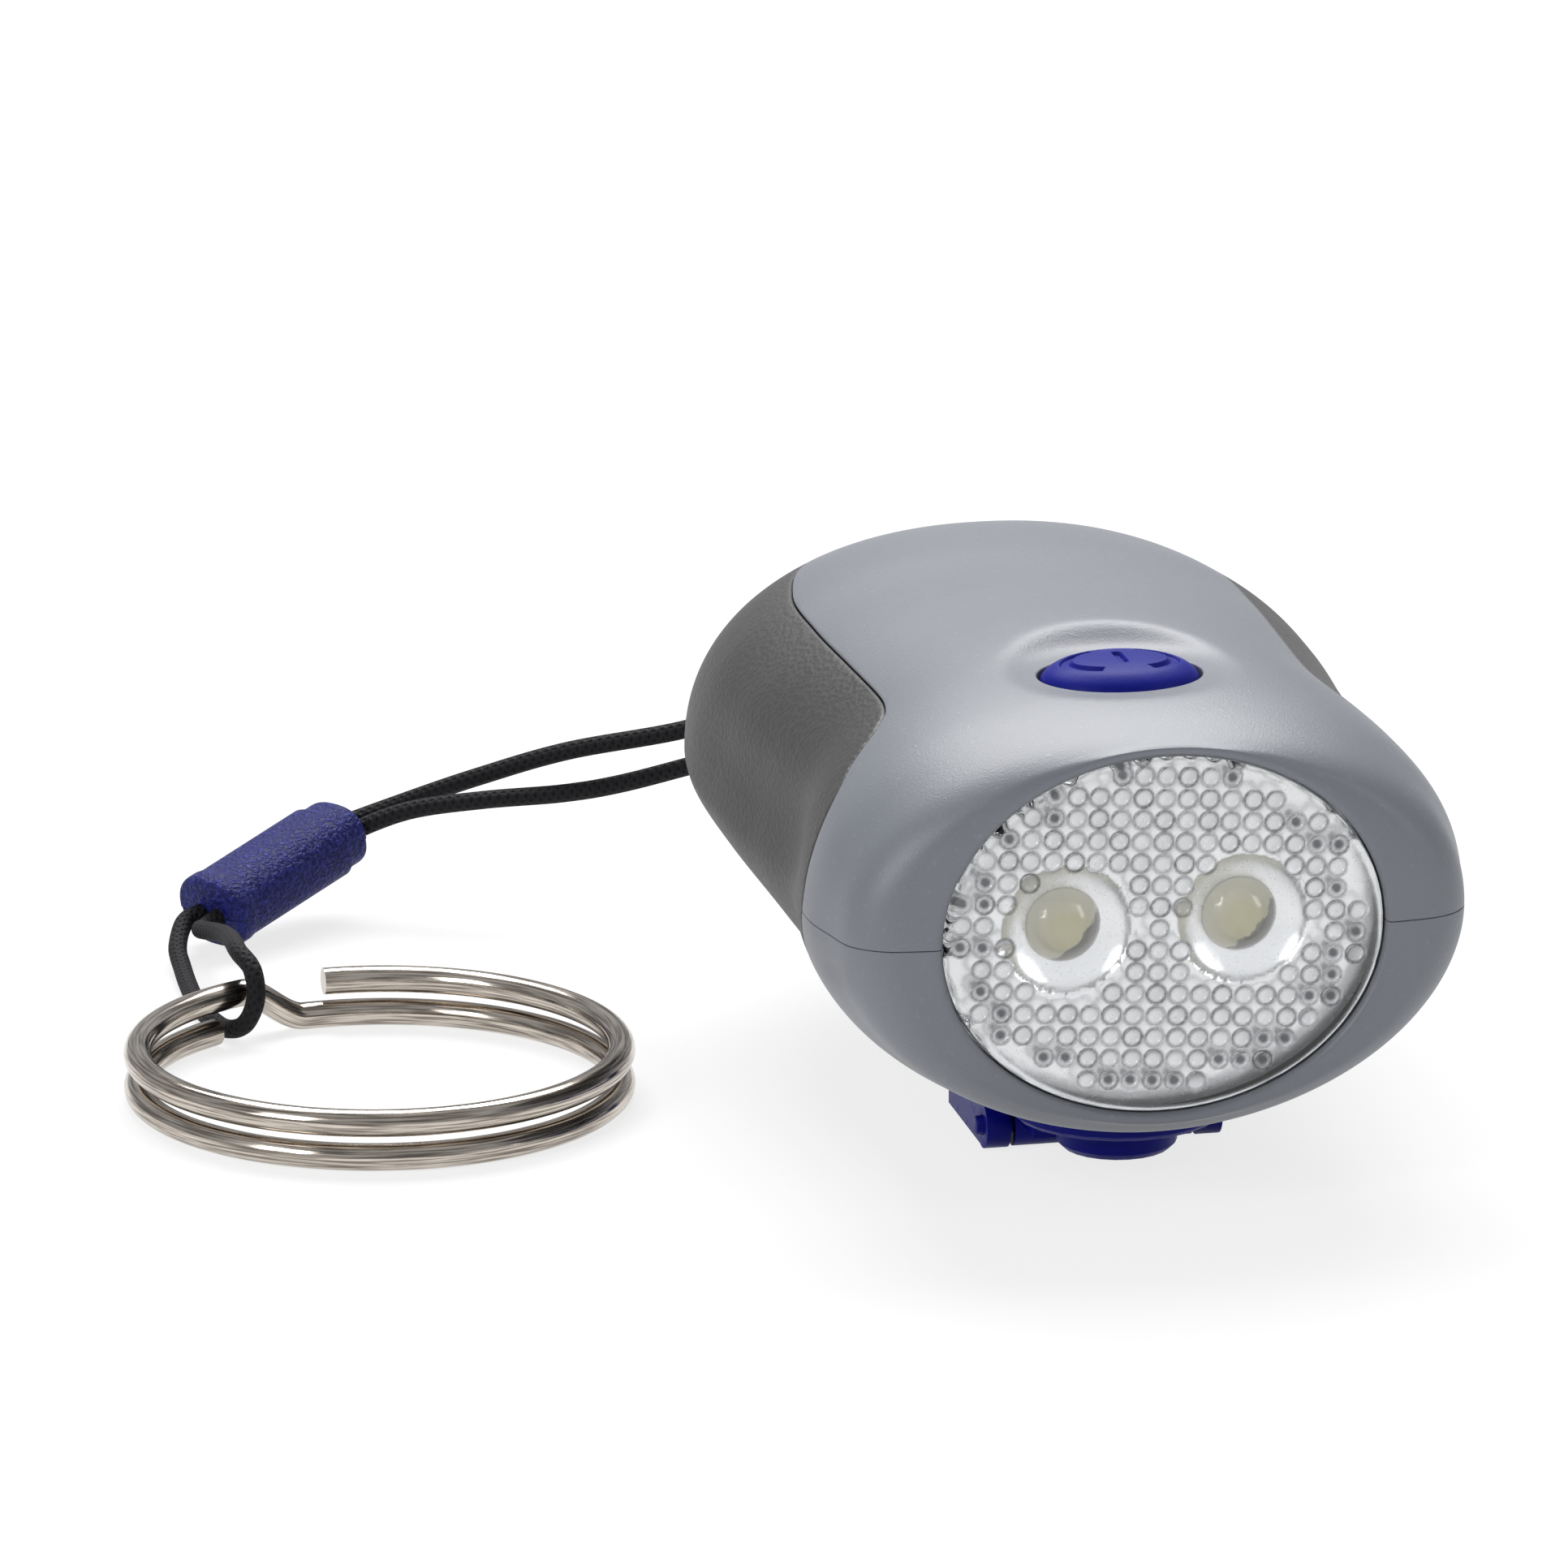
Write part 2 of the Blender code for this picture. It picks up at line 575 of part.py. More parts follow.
for side, name in ((-1, "led_left"), (1, "led_right")):
    profile = [(0, 6.6), (1.1, 6.3), (1.95, 5.65), (2.4, 4.8), (LED_RADIUS, 4.1), (LED_RADIUS, 0.9), (0, 0.9)]
    lamp = turned(name, profile, 0, BODY_LENGTH / 2, steps=16)
    lamp.transform(Matrix.Translation(place(side * LED_X, 10.6, 0)) @ Matrix.Rotation(math.pi / 2, 4, "X")
                   @ Matrix.Translation(-place(0, BODY_LENGTH / 2, 0)))
    paint(add(name, lamp), LED_CLEAR)

led_board = add("led_board", boxes("led_board", [(-10.0, 10.0, 10.0, 11.2, -6.4, 6.2)]))
paint(led_board, BOARD)

# Main board with its cell and switch
board_outline = rounded_box(-9.4, 9.4, 8.8, along(32.0), 1.5)
main_board = add("main_board", prism("main_board", [board_outline], 6.8, 7.8))
board_holes = [(0.7, 6.2, 8.7, x, y) for x, y in BOARD_HOLES]
cut(main_board, cylinders("board_holes", board_holes, segments=SMALL))
paint(main_board, BOARD)


def screws(name, rows, head_radius, head_height, shank_radius, length, head_up):
    """Equal pan-head screws sharing one mesh; a row is x, y and the z of the face under the head."""
    sign = 1 if head_up else -1
    profile = [(0, sign * head_height), (head_radius, sign * head_height), (head_radius, 0),
               (shank_radius, 0), (shank_radius, -sign * length), (0, -sign * length)]
    data = turned(name, profile, 0, BODY_LENGTH / 2, steps=8)
    data.transform(Matrix.Translation(-place(0, BODY_LENGTH / 2, 0)))
    for k, (x, y, z) in enumerate(rows):
        made = add(name + "_" + str(k + 1), data)
        made.location = place(x, y, z)
    paint(made, STEEL)


screws("board_screw", [(x, y, 6.7) for x, y in BOARD_HOLES], 1.2, 0.7, 0.5, 3.4, False)

cell_profile = [(0, 6.1), (CELL_RADIUS - 1.4, 6.1), (CELL_RADIUS - 1.4, 5.8), (CELL_RADIUS - 0.3, 5.8),
                (CELL_RADIUS, 5.5), (CELL_RADIUS, 3.1), (CELL_RADIUS - 0.3, 2.8), (0, 2.8)]
battery_cell = add("battery_cell", turned("battery_cell", cell_profile, 0, CELL_Y))
paint(battery_cell, CELL_STEEL)
holder_profile = [(HOLDER_RADIUS, 6.6), (HOLDER_RADIUS, 1.8), (HOLDER_RADIUS - 5.0, 1.8),
                  (HOLDER_RADIUS - 5.0, 2.6), (CELL_RADIUS + SEAT_GAP, 2.6), (CELL_RADIUS + SEAT_GAP, 6.6)]
battery_holder = add("battery_holder", turned("battery_holder", holder_profile, 0, CELL_Y, closed=True))
relief = [(2.2, 5.4, 7.4, x, y) for x, y in BOARD_HOLES]
cut(battery_holder, cylinders("screw_relief", relief, segments=SMALL))
paint(battery_holder, HOLDER)

switch_box = (-3, 3, BUTTON_CENTRE_Y - 3, BUTTON_CENTRE_Y + 3, 7.95, 9.5)
switch_body = add("switch_body", boxes("switch_body", [switch_box]))
cut(switch_body, cylinders("plunger_bore", [(1.6, 8.4, 10.7, 0, BUTTON_CENTRE_Y)], segments=24))
paint(switch_body, SWITCH_BLACK)
pivot = place(0, BUTTON_CENTRE_Y, 9.2)
switch_plunger = add("switch_plunger", cylinders("switch_plunger", [(1.52, 9.1, 10.4, 0, BUTTON_CENTRE_Y)],
                                                 segments=24), pivot)
paint(switch_plunger, HOLDER)

button_profile = [(0, 14.1), (1.8, 14.05), (3.3, 13.85), (4.3, 13.45), (4.85, 12.9), (BUTTON_HALF_X, 12.4),
                  (BUTTON_HALF_X, 11.2), (5.75, 11.2), (5.75, 10.65), (0, 10.65)]
button = turned("switch_button", button_profile, 0, BUTTON_CENTRE_Y)
squash = BUTTON_HALF_Y / BUTTON_HALF_X
button.transform(Matrix.Translation(place(0, BUTTON_CENTRE_Y, 0)) @ Matrix.Diagonal((1, squash, 1, 1))
                 @ Matrix.Translation(-place(0, BUTTON_CENTRE_Y, 0)))
switch_button = add("switch_button", button, place(0, BUTTON_CENTRE_Y, 11.2))
paint(switch_button, BUTTON_BLUE)

# Gear plate, axles and screws
plate_half_width = POST_X + POST_RADIUS
plate_outline = rounded_box(-plate_half_width, plate_half_width, HUB_Y + 2.6, along(49.0), 1.4)
gear_plate = add("gear_plate", prism("gear_plate", [plate_outline], PLATE_BOTTOM, PLATE_TOP))
plate_holes = [(0.8, PLATE_BOTTOM - 1, PLATE_TOP + 1, x, y) for x, y in POSTS]
plate_holes += [(AXLE_RADIUS + 0.05, PLATE_BOTTOM - 1, PLATE_TOP + 1, 0, y) for y in GEAR_Y[1:]]
cut(gear_plate, cylinders("plate_holes", plate_holes, segments=SMALL))
paint(gear_plate, STEEL)
screws("plate_screw", [(x, y, PLATE_TOP + 0.1) for x, y in POSTS], 1.25, 0.8, 0.58, 2.2, True)
screws("shell_screw", [(x, y, -7.3 if y < 30 else -4.3) for x, y in SCREWS], 1.85, 1.2, 0.9, 9.5, False)

for name, y, low in (("gear_axle_1", GEAR_Y[1], -12.35), ("gear_axle_2", GEAR_Y[2], -9.55)):
    axle = add(name, cylinders(name, [(AXLE_RADIUS, low, PLATE_TOP - 0.1, 0, y)], segments=SMALL))
    paint(axle, STEEL)


def gear_outline(teeth, first_angle):
    """Straight-flanked teeth with backlash on the pitch circle."""
    pitch = GEAR_MODULE * teeth / 2
    tip = pitch + 0.8 * GEAR_MODULE
    root = pitch - 1.05 * GEAR_MODULE
    step = 2 * math.pi / teeth
    root_half = 0.3 * GEAR_MODULE * math.pi / root
    tip_half = 0.13 * GEAR_MODULE * math.pi / tip
    points = []
    for k in range(teeth):
        middle = math.radians(first_angle) + k * step
        for radius, offset in ((root, -root_half), (tip, -tip_half), (tip, tip_half), (root, root_half)):
            points.append((radius * math.cos(middle + offset), radius * math.sin(middle + offset)))
    return points


def shifted(outline, y):
    return [(a, b + y) for a, b in outline]


wheel_outline = gear_outline(WHEEL_TEETH, 0)
drive_gear = add("drive_gear", prism("drive_gear", [shifted(wheel_outline, HUB_Y)], -10.85, -9.35),
                 place(0, HUB_Y, -10.1))
cut(drive_gear, cylinders("bore", [(SHAFT_RADIUS + 0.04, -12.8, -7.8, 0, HUB_Y)]))
paint(drive_gear, GEAR_WHITE)

for name, y, low, high in (("compound_gear_1", GEAR_Y[1], -10.8, -8.2),
                           ("compound_gear_2", GEAR_Y[2], -7.8, -6.0)):
    gear = add(name, prism(name, [shifted(wheel_outline, y)], high, high + 1.4), place(0, y, high))
    pinion = prism("pinion", [shifted(gear_outline(PINION_TEETH, 22.5), y)], low, high + 0.4)
    fuse(gear, pinion)
    cut(gear, cylinders("bore", [(AXLE_RADIUS + RUN_GAP, low - 2, high + 4, 0, y)], segments=SMALL))
    paint(gear, GEAR_WHITE)

# Generator
ROTOR_Y = GEAR_Y[3]
rotor_shaft = add("rotor_shaft", prism("rotor_shaft", [shifted(gear_outline(PINION_TEETH, 22.5), ROTOR_Y)],
                                       -5.55, -4.3), place(0, ROTOR_Y, -4.8))
fuse(rotor_shaft, cylinders("shaft", [(AXLE_RADIUS - 0.02, -7.1, 4.6, 0, ROTOR_Y)], segments=SMALL))
paint(rotor_shaft, STEEL)
MAGNET_RADIUS = STATOR_RADIUS - 3.0
magnet_profile = [(MAGNET_RADIUS, 3.7), (MAGNET_RADIUS, -1.6),
                  (AXLE_RADIUS + 0.01, -1.6), (AXLE_RADIUS + 0.01, 3.7)]
rotor_magnet = add("rotor_magnet", turned("rotor_magnet", magnet_profile, 0, ROTOR_Y, closed=True),
                   place(0, ROTOR_Y, 1.0))
paint(rotor_magnet, MAGNET)
CUP_INNER = STATOR_RADIUS - 0.75
cup_profile = [(STATOR_RADIUS, 4.8), (STATOR_RADIUS, -2.8), (1.6, -2.8), (1.6, -2.2),
               (CUP_INNER, -2.2), (CUP_INNER, 4.8)]
stator_cup = add("stator_cup", turned("stator_cup", cup_profile, 0, ROTOR_Y, closed=True))
paint(stator_cup, STEEL)
COIL_OUTER = STATOR_RADIUS - 0.9
COIL_INNER = STATOR_RADIUS - 2.4
coil_profile = [(COIL_OUTER, 4.2), (COIL_OUTER, -2.0), (COIL_INNER, -2.0), (COIL_INNER, 4.2)]
stator_coil = add("stator_coil", turned("stator_coil", coil_profile, 0, ROTOR_Y, closed=True))
paint(stator_coil, COPPER)

# Crank: bush, hub, hinge and folding arm
crank_bush = add("crank_bush", turned("crank_bush", [(4.6, -11.0), (4.6, -11.4), (3.62, -11.4), (3.62, -12.7),
                                                     (SHAFT_RADIUS + RUN_GAP, -12.7),
                                                     (SHAFT_RADIUS + RUN_GAP, -11.0)],
                                      0, HUB_Y, closed=True))
paint(crank_bush, BRASS)

hub_profile = [(0, -9.3), (SHAFT_RADIUS - 0.2, -9.3), (SHAFT_RADIUS, -9.5), (SHAFT_RADIUS, -13.1),
               (FLANGE_RADIUS, -13.1), (FLANGE_RADIUS, -14.25), (FLANGE_RADIUS - 0.3, -14.55), (3.7, -14.55),
               (3.7, -16.3), (3.3, -16.7), (0, -16.7)]
crank_hub = add("crank_hub", turned("crank_hub", hub_profile, 0, HUB_Y), place(0, HUB_Y, -13.8))
fuse(crank_hub, boxes("block", [(-5.0, 5.0, HUB_Y + 0.7, HINGE_Y - 0.2, -16.25, -14.0)]))
fuse(crank_hub, cylinders("knuckle", [(1.4, -5.6, 5.6, HINGE_Y, HINGE_Z)], axis="X", segments=24))
cut(crank_hub, cylinders("pin_bore", [(HINGE_PIN_RADIUS + 0.03, -7.0, 7.0, HINGE_Y, HINGE_Z)], axis="X",
                         segments=SMALL))
cut(crank_hub, cylinders("screw_bore", [(1.0, -13.2, -7.8, 0, HUB_Y)], segments=SMALL))
paint(crank_hub, CRANK_BLUE)
screw_profile = [(0, -8.55), (2.4, -8.55), (3.1, -8.8), (3.1, -9.2), (0.92, -9.2), (0.92, -12.9), (0, -12.9)]
hub_screw = add("hub_screw", turned("hub_screw", screw_profile, 0, HUB_Y, steps=16), place(0, HUB_Y, -9.2))
paint(hub_screw, STEEL)

hinge_pin = add("hinge_pin", cylinders("hinge_pin", [(HINGE_PIN_RADIUS, -7.85, 7.85, HINGE_Y, HINGE_Z)],
                                       axis="X", segments=SMALL), place(0, HINGE_Y, HINGE_Z))
paint(hinge_pin, CRANK_BLUE)

ARM_BOTTOM = HINGE_Z - HINGE_ABOVE_ARM
LUG_INNER_X = LUG_OUTER_X - LUG_THICKNESS
RAIL_OUTER_X = LUG_OUTER_X - 0.1
RAIL_INNER_X = LUG_INNER_X + 0.1
arm_outline = ([(RAIL_OUTER_X, HINGE_Y + 0.2), (RAIL_OUTER_X, HINGE_Y + 9.4)]
               + arc(0, KNOB_Y, KNOB_RADIUS + 0.4, 8, 172, 13)
               + [(-RAIL_OUTER_X, HINGE_Y + 9.4), (-RAIL_OUTER_X, HINGE_Y + 0.2),
                  (-RAIL_INNER_X, HINGE_Y + 0.2), (-RAIL_INNER_X, HINGE_Y + 7.6)]
               + arc(-RAIL_INNER_X + 0.9, HINGE_Y + 7.6, 0.9, 150, 90, 3)
               + arc(RAIL_INNER_X - 0.9, HINGE_Y + 7.6, 0.9, 90, 30, 3)
               + [(RAIL_INNER_X, HINGE_Y + 7.6), (RAIL_INNER_X, HINGE_Y + 0.2)])
ARM_TOP = ARM_BOTTOM + ARM_THICKNESS
crank_arm = add("crank_arm", prism("crank_arm", [arm_outline], ARM_BOTTOM, ARM_TOP), place(0, HINGE_Y, HINGE_Z))
fuse(crank_arm, cylinders("lugs", [(LUG_RADIUS, LUG_INNER_X, LUG_OUTER_X, HINGE_Y, HINGE_Z),
                                   (LUG_RADIUS, -LUG_OUTER_X, -LUG_INNER_X, HINGE_Y, HINGE_Z)],
                          axis="X", segments=24))
cut(crank_arm, cylinders("pin_bores", [(HINGE_PIN_RADIUS + RUN_GAP, -9.0, 9.0, HINGE_Y, HINGE_Z)], axis="X",
                         segments=SMALL))
cut(crank_arm, cylinders("knob_bore", [(1.15, ARM_BOTTOM - 1, ARM_BOTTOM + 4, 0, KNOB_Y)], segments=SMALL))
knob_recess = (2.1, ARM_BOTTOM - 1, ARM_BOTTOM + 0.8, 0, KNOB_Y)
cut(crank_arm, cylinders("knob_head_recess", [knob_recess], segments=SMALL))
paint(crank_arm, CRANK_BLUE)

knob_profile = [(KNOB_RADIUS - 0.5, -10.8), (KNOB_RADIUS, -11.3), (KNOB_RADIUS - 0.25, -12.8),
                (KNOB_RADIUS, -14.6), (KNOB_RADIUS - 0.4, -15.1), (1.1 + RUN_GAP, -15.1),
                (1.1 + RUN_GAP, -12.0), (2.5, -12.0), (2.5, -10.8)]
crank_knob = add("crank_knob", turned("crank_knob", knob_profile, 0, KNOB_Y, steps=20, closed=True),
                 place(0, KNOB_Y, -13.8))
paint(crank_knob, CRANK_BLUE)
pin_profile = [(0, -11.0), (1.6, -11.0), (2.2, -11.4), (2.2, -11.9), (1.1, -11.9),
               (1.1, -17.1), (1.9, -17.1), (1.9, -17.6), (0, -17.6)]
knob_pin = add("knob_pin", turned("knob_pin", pin_profile, 0, KNOB_Y, steps=16), place(0, KNOB_Y, -15.8))
paint(knob_pin, STEEL)

# Split key ring: one tube of nearly two turns, stepping down at the back
RING_X = -41.35
RING_Y = 34.4
RING_PITCH = 2 * RING_WIRE_RADIUS + 0.44


def tube(name, points, radius, slot, resolution):
    curve = bpy.data.curves.new(name, "CURVE")
    curve.dimensions = "3D"
    curve.bevel_depth = radius * MM
    curve.bevel_resolution = resolution
    curve.use_fill_caps = True
    spline = curve.splines.new("POLY")
    spline.points.add(len(points) - 1)
    for point, (x, y, z) in zip(spline.points, points):
        point.co = (*on_floor(x, y, z), 1)
    made = add(name, curve)
    curve.materials.append(slot)
    return made


ring_points = []
for turn in [*range(0, 331, 15), 337.5, 341, 344, 347, 350, 353.5, 357, *np.linspace(367.5, 690, 22)]:
    fall = min(1, max(0, (turn - 340) / 13))
    height = RING_WIRE_RADIUS + 0.02 + RING_PITCH * (1 - fall * fall * (3 - 2 * fall))
    angle = math.radians(93 - turn)
    ring_points.append((RING_X + RING_RADIUS * math.cos(angle),
                        RING_Y + RING_RADIUS * math.sin(angle), height))
key_ring = tube("key_ring", ring_points, RING_WIRE_RADIUS, RING_STEEL, 1)


def self_gap(points, radius, skip):
    """Least free distance between parts of one tube that are further apart along it than the skip."""
    fine = smooth_curve(points, 6)
    along = np.concatenate([[0], np.cumsum(np.linalg.norm(np.diff(fine, axis=0), axis=1))])
    apart = np.linalg.norm(fine[:, None, :] - fine[None, :, :], axis=2)
    far = np.abs(along[:, None] - along[None, :]) > skip
    return float(apart[far].min() - 2 * radius)


ring_gap = self_gap(ring_points, RING_WIRE_RADIUS, 6.0)
print("key ring: turns of one tube stand apart by at least", round(ring_gap, 3), "mm")

# Cord lock: two moulded halves round the cord, lying with its mouth on the floor
LOCK_MOUTH = Vector((-46.3, 66.8, 2.5))
LOCK_REAR = Vector((-36.4, 73.9, 5.45))
along = (LOCK_REAR - LOCK_MOUTH).normalized()
across = Vector((along.y, -along.x, 0)).normalized()
upward = across.cross(along)
if upward.z < 0:
    upward = -upward
LOCK_SECTIONS = [(0.0, 0.86), (0.25, 0.93), (0.8, 0.99), (1.8, 1.0), (6.2, 1.0), (10.6, 1.0), (11.6, 0.985),
                 (12.15, 0.93), (12.4, 0.86)]


def lock_loft(name, half_w, half_h, power, table, steps):
    sections = []
    for s, share in table:
        section = []
        for a in (np.arange(steps) + 0.5) / steps * 2 * math.pi:
            w = half_w * share * math.copysign(abs(math.cos(a)) ** (2 / power), math.cos(a))
            h = half_h * share * math.copysign(abs(math.sin(a)) ** (2 / power), math.sin(a))
            point = LOCK_MOUTH + along * s + across * w + upward * h
            section.append(on_floor(*point))
        sections.append(section)
    return loft(name, sections)


LOCK_HALF_W = 2.75
LOCK_HALF_H = 2.35
for name, sign, share in (("lock_upper", 1, 1.0), ("lock_lower", -1, 0.96)):
    table = [(s, grow * share) for s, grow in LOCK_SECTIONS]
    half = add(name, lock_loft(name, LOCK_HALF_W, LOCK_HALF_H, 3.0, table, 24))
    cut(half, lock_loft("cord_bore", 1.95, 1.05, 2.0, [(-2, 1.0), (LOCK_LENGTH + 2, 1.0)], 16))
    block = boxes("block", [(-20, 20, -20, 20, -20, 0)])
    block.transform(Matrix.Translation(-place(0, 0, 0)))
    turn = Matrix((across, along, upward)).transposed().to_4x4()
    if turn.determinant() < 0:
        turn = Matrix((-across, along, upward)).transposed().to_4x4()
    flip = Matrix.Identity(4) if sign > 0 else Matrix.Rotation(math.pi, 4, "Y")
    shift = Matrix.Translation(on_floor(*(LOCK_MOUTH + upward * (0.1 * sign))))
    block.transform(shift @ turn @ flip)
    cut(half, block)
    paint(half, LOCK_BLUE)


def lock_point(s, w):
    return tuple(LOCK_MOUTH + along * s + across * w)


REAR_S = (LOCK_REAR - LOCK_MOUTH).length
BODY_ROUTE = [lock_point(REAR_S - 2.0, -0.75), lock_point(REAR_S, -0.75),
              (-32.2, 74.3, 7.0), (-27.8, 71.6, 9.2),
              (-22.4, 69.1, 11.3), (-14.85, 66.8, 13.0), (-9.0, 64.9, 15.4), (-4.0, 62.9, 18.6),
              (-1.5, 61.2, 20.0), (-0.7, 59.6, 20.35), (-0.6, 57.8, 20.35), (-0.5, 56.0, 19.65),
              (-0.45, 55.25, 17.8), (-0.45, 56.0, 15.95), (-0.6, 57.8, 15.25), (-0.8, 59.6, 15.2),
              (-1.7, 61.4, 14.9), (-4.4, 63.0, 14.0), (-9.3, 65.0, 12.3), (-14.9, 66.7, 10.5),
              (-19.4, 67.6, 9.3), (-23.0, 68.3, 8.7), (-27.9, 69.6, 8.2), (-32.4, 71.6, 7.2),
              lock_point(REAR_S, 0.75), lock_point(REAR_S - 2.0, 0.75)]
RING_ROUTE = [lock_point(1.6, 0.75), lock_point(0, 0.75), lock_point(-1.5, 0.9), (-47.45, 63.3, 2.6),
              (-47.0, 59.5, 3.5), (-47.1, 55.2, 4.5), (-47.45, 51.5, 5.25), (-47.6, 48.75, 5.45),
              (-47.05, 47.0, 4.75), (-47.0, 46.25, 3.05), (-47.6, 46.75, 1.35), (-48.5, 48.25, 0.64),
              (-49.2, 51.0, 0.64), (-49.4, 54.0, 0.64), (-49.3, 57.5, 0.64), (-49.1, 61.0, 0.8),
              (-48.9, 64.0, 1.3), lock_point(-1.5, -0.85), lock_point(0, -0.75), lock_point(1.6, -0.75)]
cord_body_loop = tube("cord_body_loop", cord_points(BODY_ROUTE), CORD_RADIUS, CORD_BLACK, 2)
cord_ring_loop = tube("cord_ring_loop", cord_points(RING_ROUTE), CORD_RADIUS, CORD_BLACK, 2)

SMOOTH_ANGLE = math.radians(35)
for made in parts.objects:
    if made.type == "MESH":
        for face in made.data.polygons:
            face.use_smooth = True
        made.data.set_sharp_from_angle(angle=SMOOTH_ANGLE)
print("parts:", len(parts.objects))
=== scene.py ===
# %% [markdown]
# # A keyring torch with a folding dynamo crank
# The torch is a palm-sized moulded body with a clear beaded front, a rubber button, two soft grip
# panels, a blue crank folded flat under its belly, and a braided cord that ties it to a split
# ring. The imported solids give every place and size, so each piece goes where its solid is. New
# surfaces are worked out with numpy in millimetres: X to the right, Y backwards from the front
# rim, Z up from the floor. They go into meshes in metres, with the origin under the middle.

# %% Load the solids
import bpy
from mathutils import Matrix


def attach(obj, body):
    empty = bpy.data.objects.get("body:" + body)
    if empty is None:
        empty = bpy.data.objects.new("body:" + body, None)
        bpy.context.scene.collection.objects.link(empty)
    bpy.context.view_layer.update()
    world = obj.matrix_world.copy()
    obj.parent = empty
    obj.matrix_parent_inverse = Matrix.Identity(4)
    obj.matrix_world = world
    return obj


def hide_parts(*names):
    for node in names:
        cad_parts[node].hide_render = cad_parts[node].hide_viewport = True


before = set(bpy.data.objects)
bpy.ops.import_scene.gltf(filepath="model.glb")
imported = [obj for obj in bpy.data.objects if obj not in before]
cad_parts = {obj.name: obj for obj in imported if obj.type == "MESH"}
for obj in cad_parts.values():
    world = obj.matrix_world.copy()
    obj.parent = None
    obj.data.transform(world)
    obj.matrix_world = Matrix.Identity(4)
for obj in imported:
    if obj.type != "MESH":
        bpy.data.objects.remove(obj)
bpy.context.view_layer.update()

import math
import bmesh
import bpy
import numpy as np
from mathutils import Matrix, Vector

BODY_LENGTH = 61.0
AXIS = 17.8
MIDDLE = np.array([0.0, BODY_LENGTH / 2, 0.0])
MM = 0.001


def metres(points):
    """Points in millimetres from the front rim as points in metres from under the middle."""
    return (np.asarray(points, float) - MIDDLE) * MM


def new_object(name, data):
    """An object of the scene, at the origin."""
    made = bpy.data.objects.new(name, data)
    bpy.context.scene.collection.objects.link(made)
    return made


# %% [markdown]
# ## Camera
# The photograph was taken with a long lens from the left and a little above. The direction was
# worked out from the round lens opening, whose true shape is known. A lens of nearly 300 mm on a
# 36 mm sensor from 770 mm away keeps the same slight perspective.

# %% Camera at the photograph's place
TURN = math.radians(12.39)
RISE = math.radians(16.2)
DISTANCE = 770
AIM_LEFT = 22.787
AIM_ABOVE = 9.107
backward = Vector((-math.sin(TURN) * math.cos(RISE), -math.cos(TURN) * math.cos(RISE), math.sin(RISE)))
rightward = Vector((math.cos(TURN), -math.sin(TURN), 0))
upright = backward.cross(rightward)
aim = Vector((0, -BODY_LENGTH / 2, AXIS)) - rightward * AIM_LEFT + upright * AIM_ABOVE

lens_data = bpy.data.cameras.new("camera")
lens_data.sensor_width = 36
lens_data.lens = 296.57
lens_data.clip_start = 0.05
lens_data.clip_end = 20
camera = new_object("camera", lens_data)
stand = Matrix((rightward, upright, backward)).transposed().to_4x4()
camera.matrix_world = Matrix.Translation((aim + backward * DISTANCE) * MM) @ stand
bpy.context.scene.camera = camera
bpy.context.scene.view_settings.view_transform = "Standard"
print("camera at", [round(value, 4) for value in camera.location])

# %% [markdown]
# ## Shader maths
# Every finish is a few nodes of noise and arithmetic. A small class that wraps one socket lets
# that arithmetic be written as ordinary Python sums, so a finish reads like its recipe.


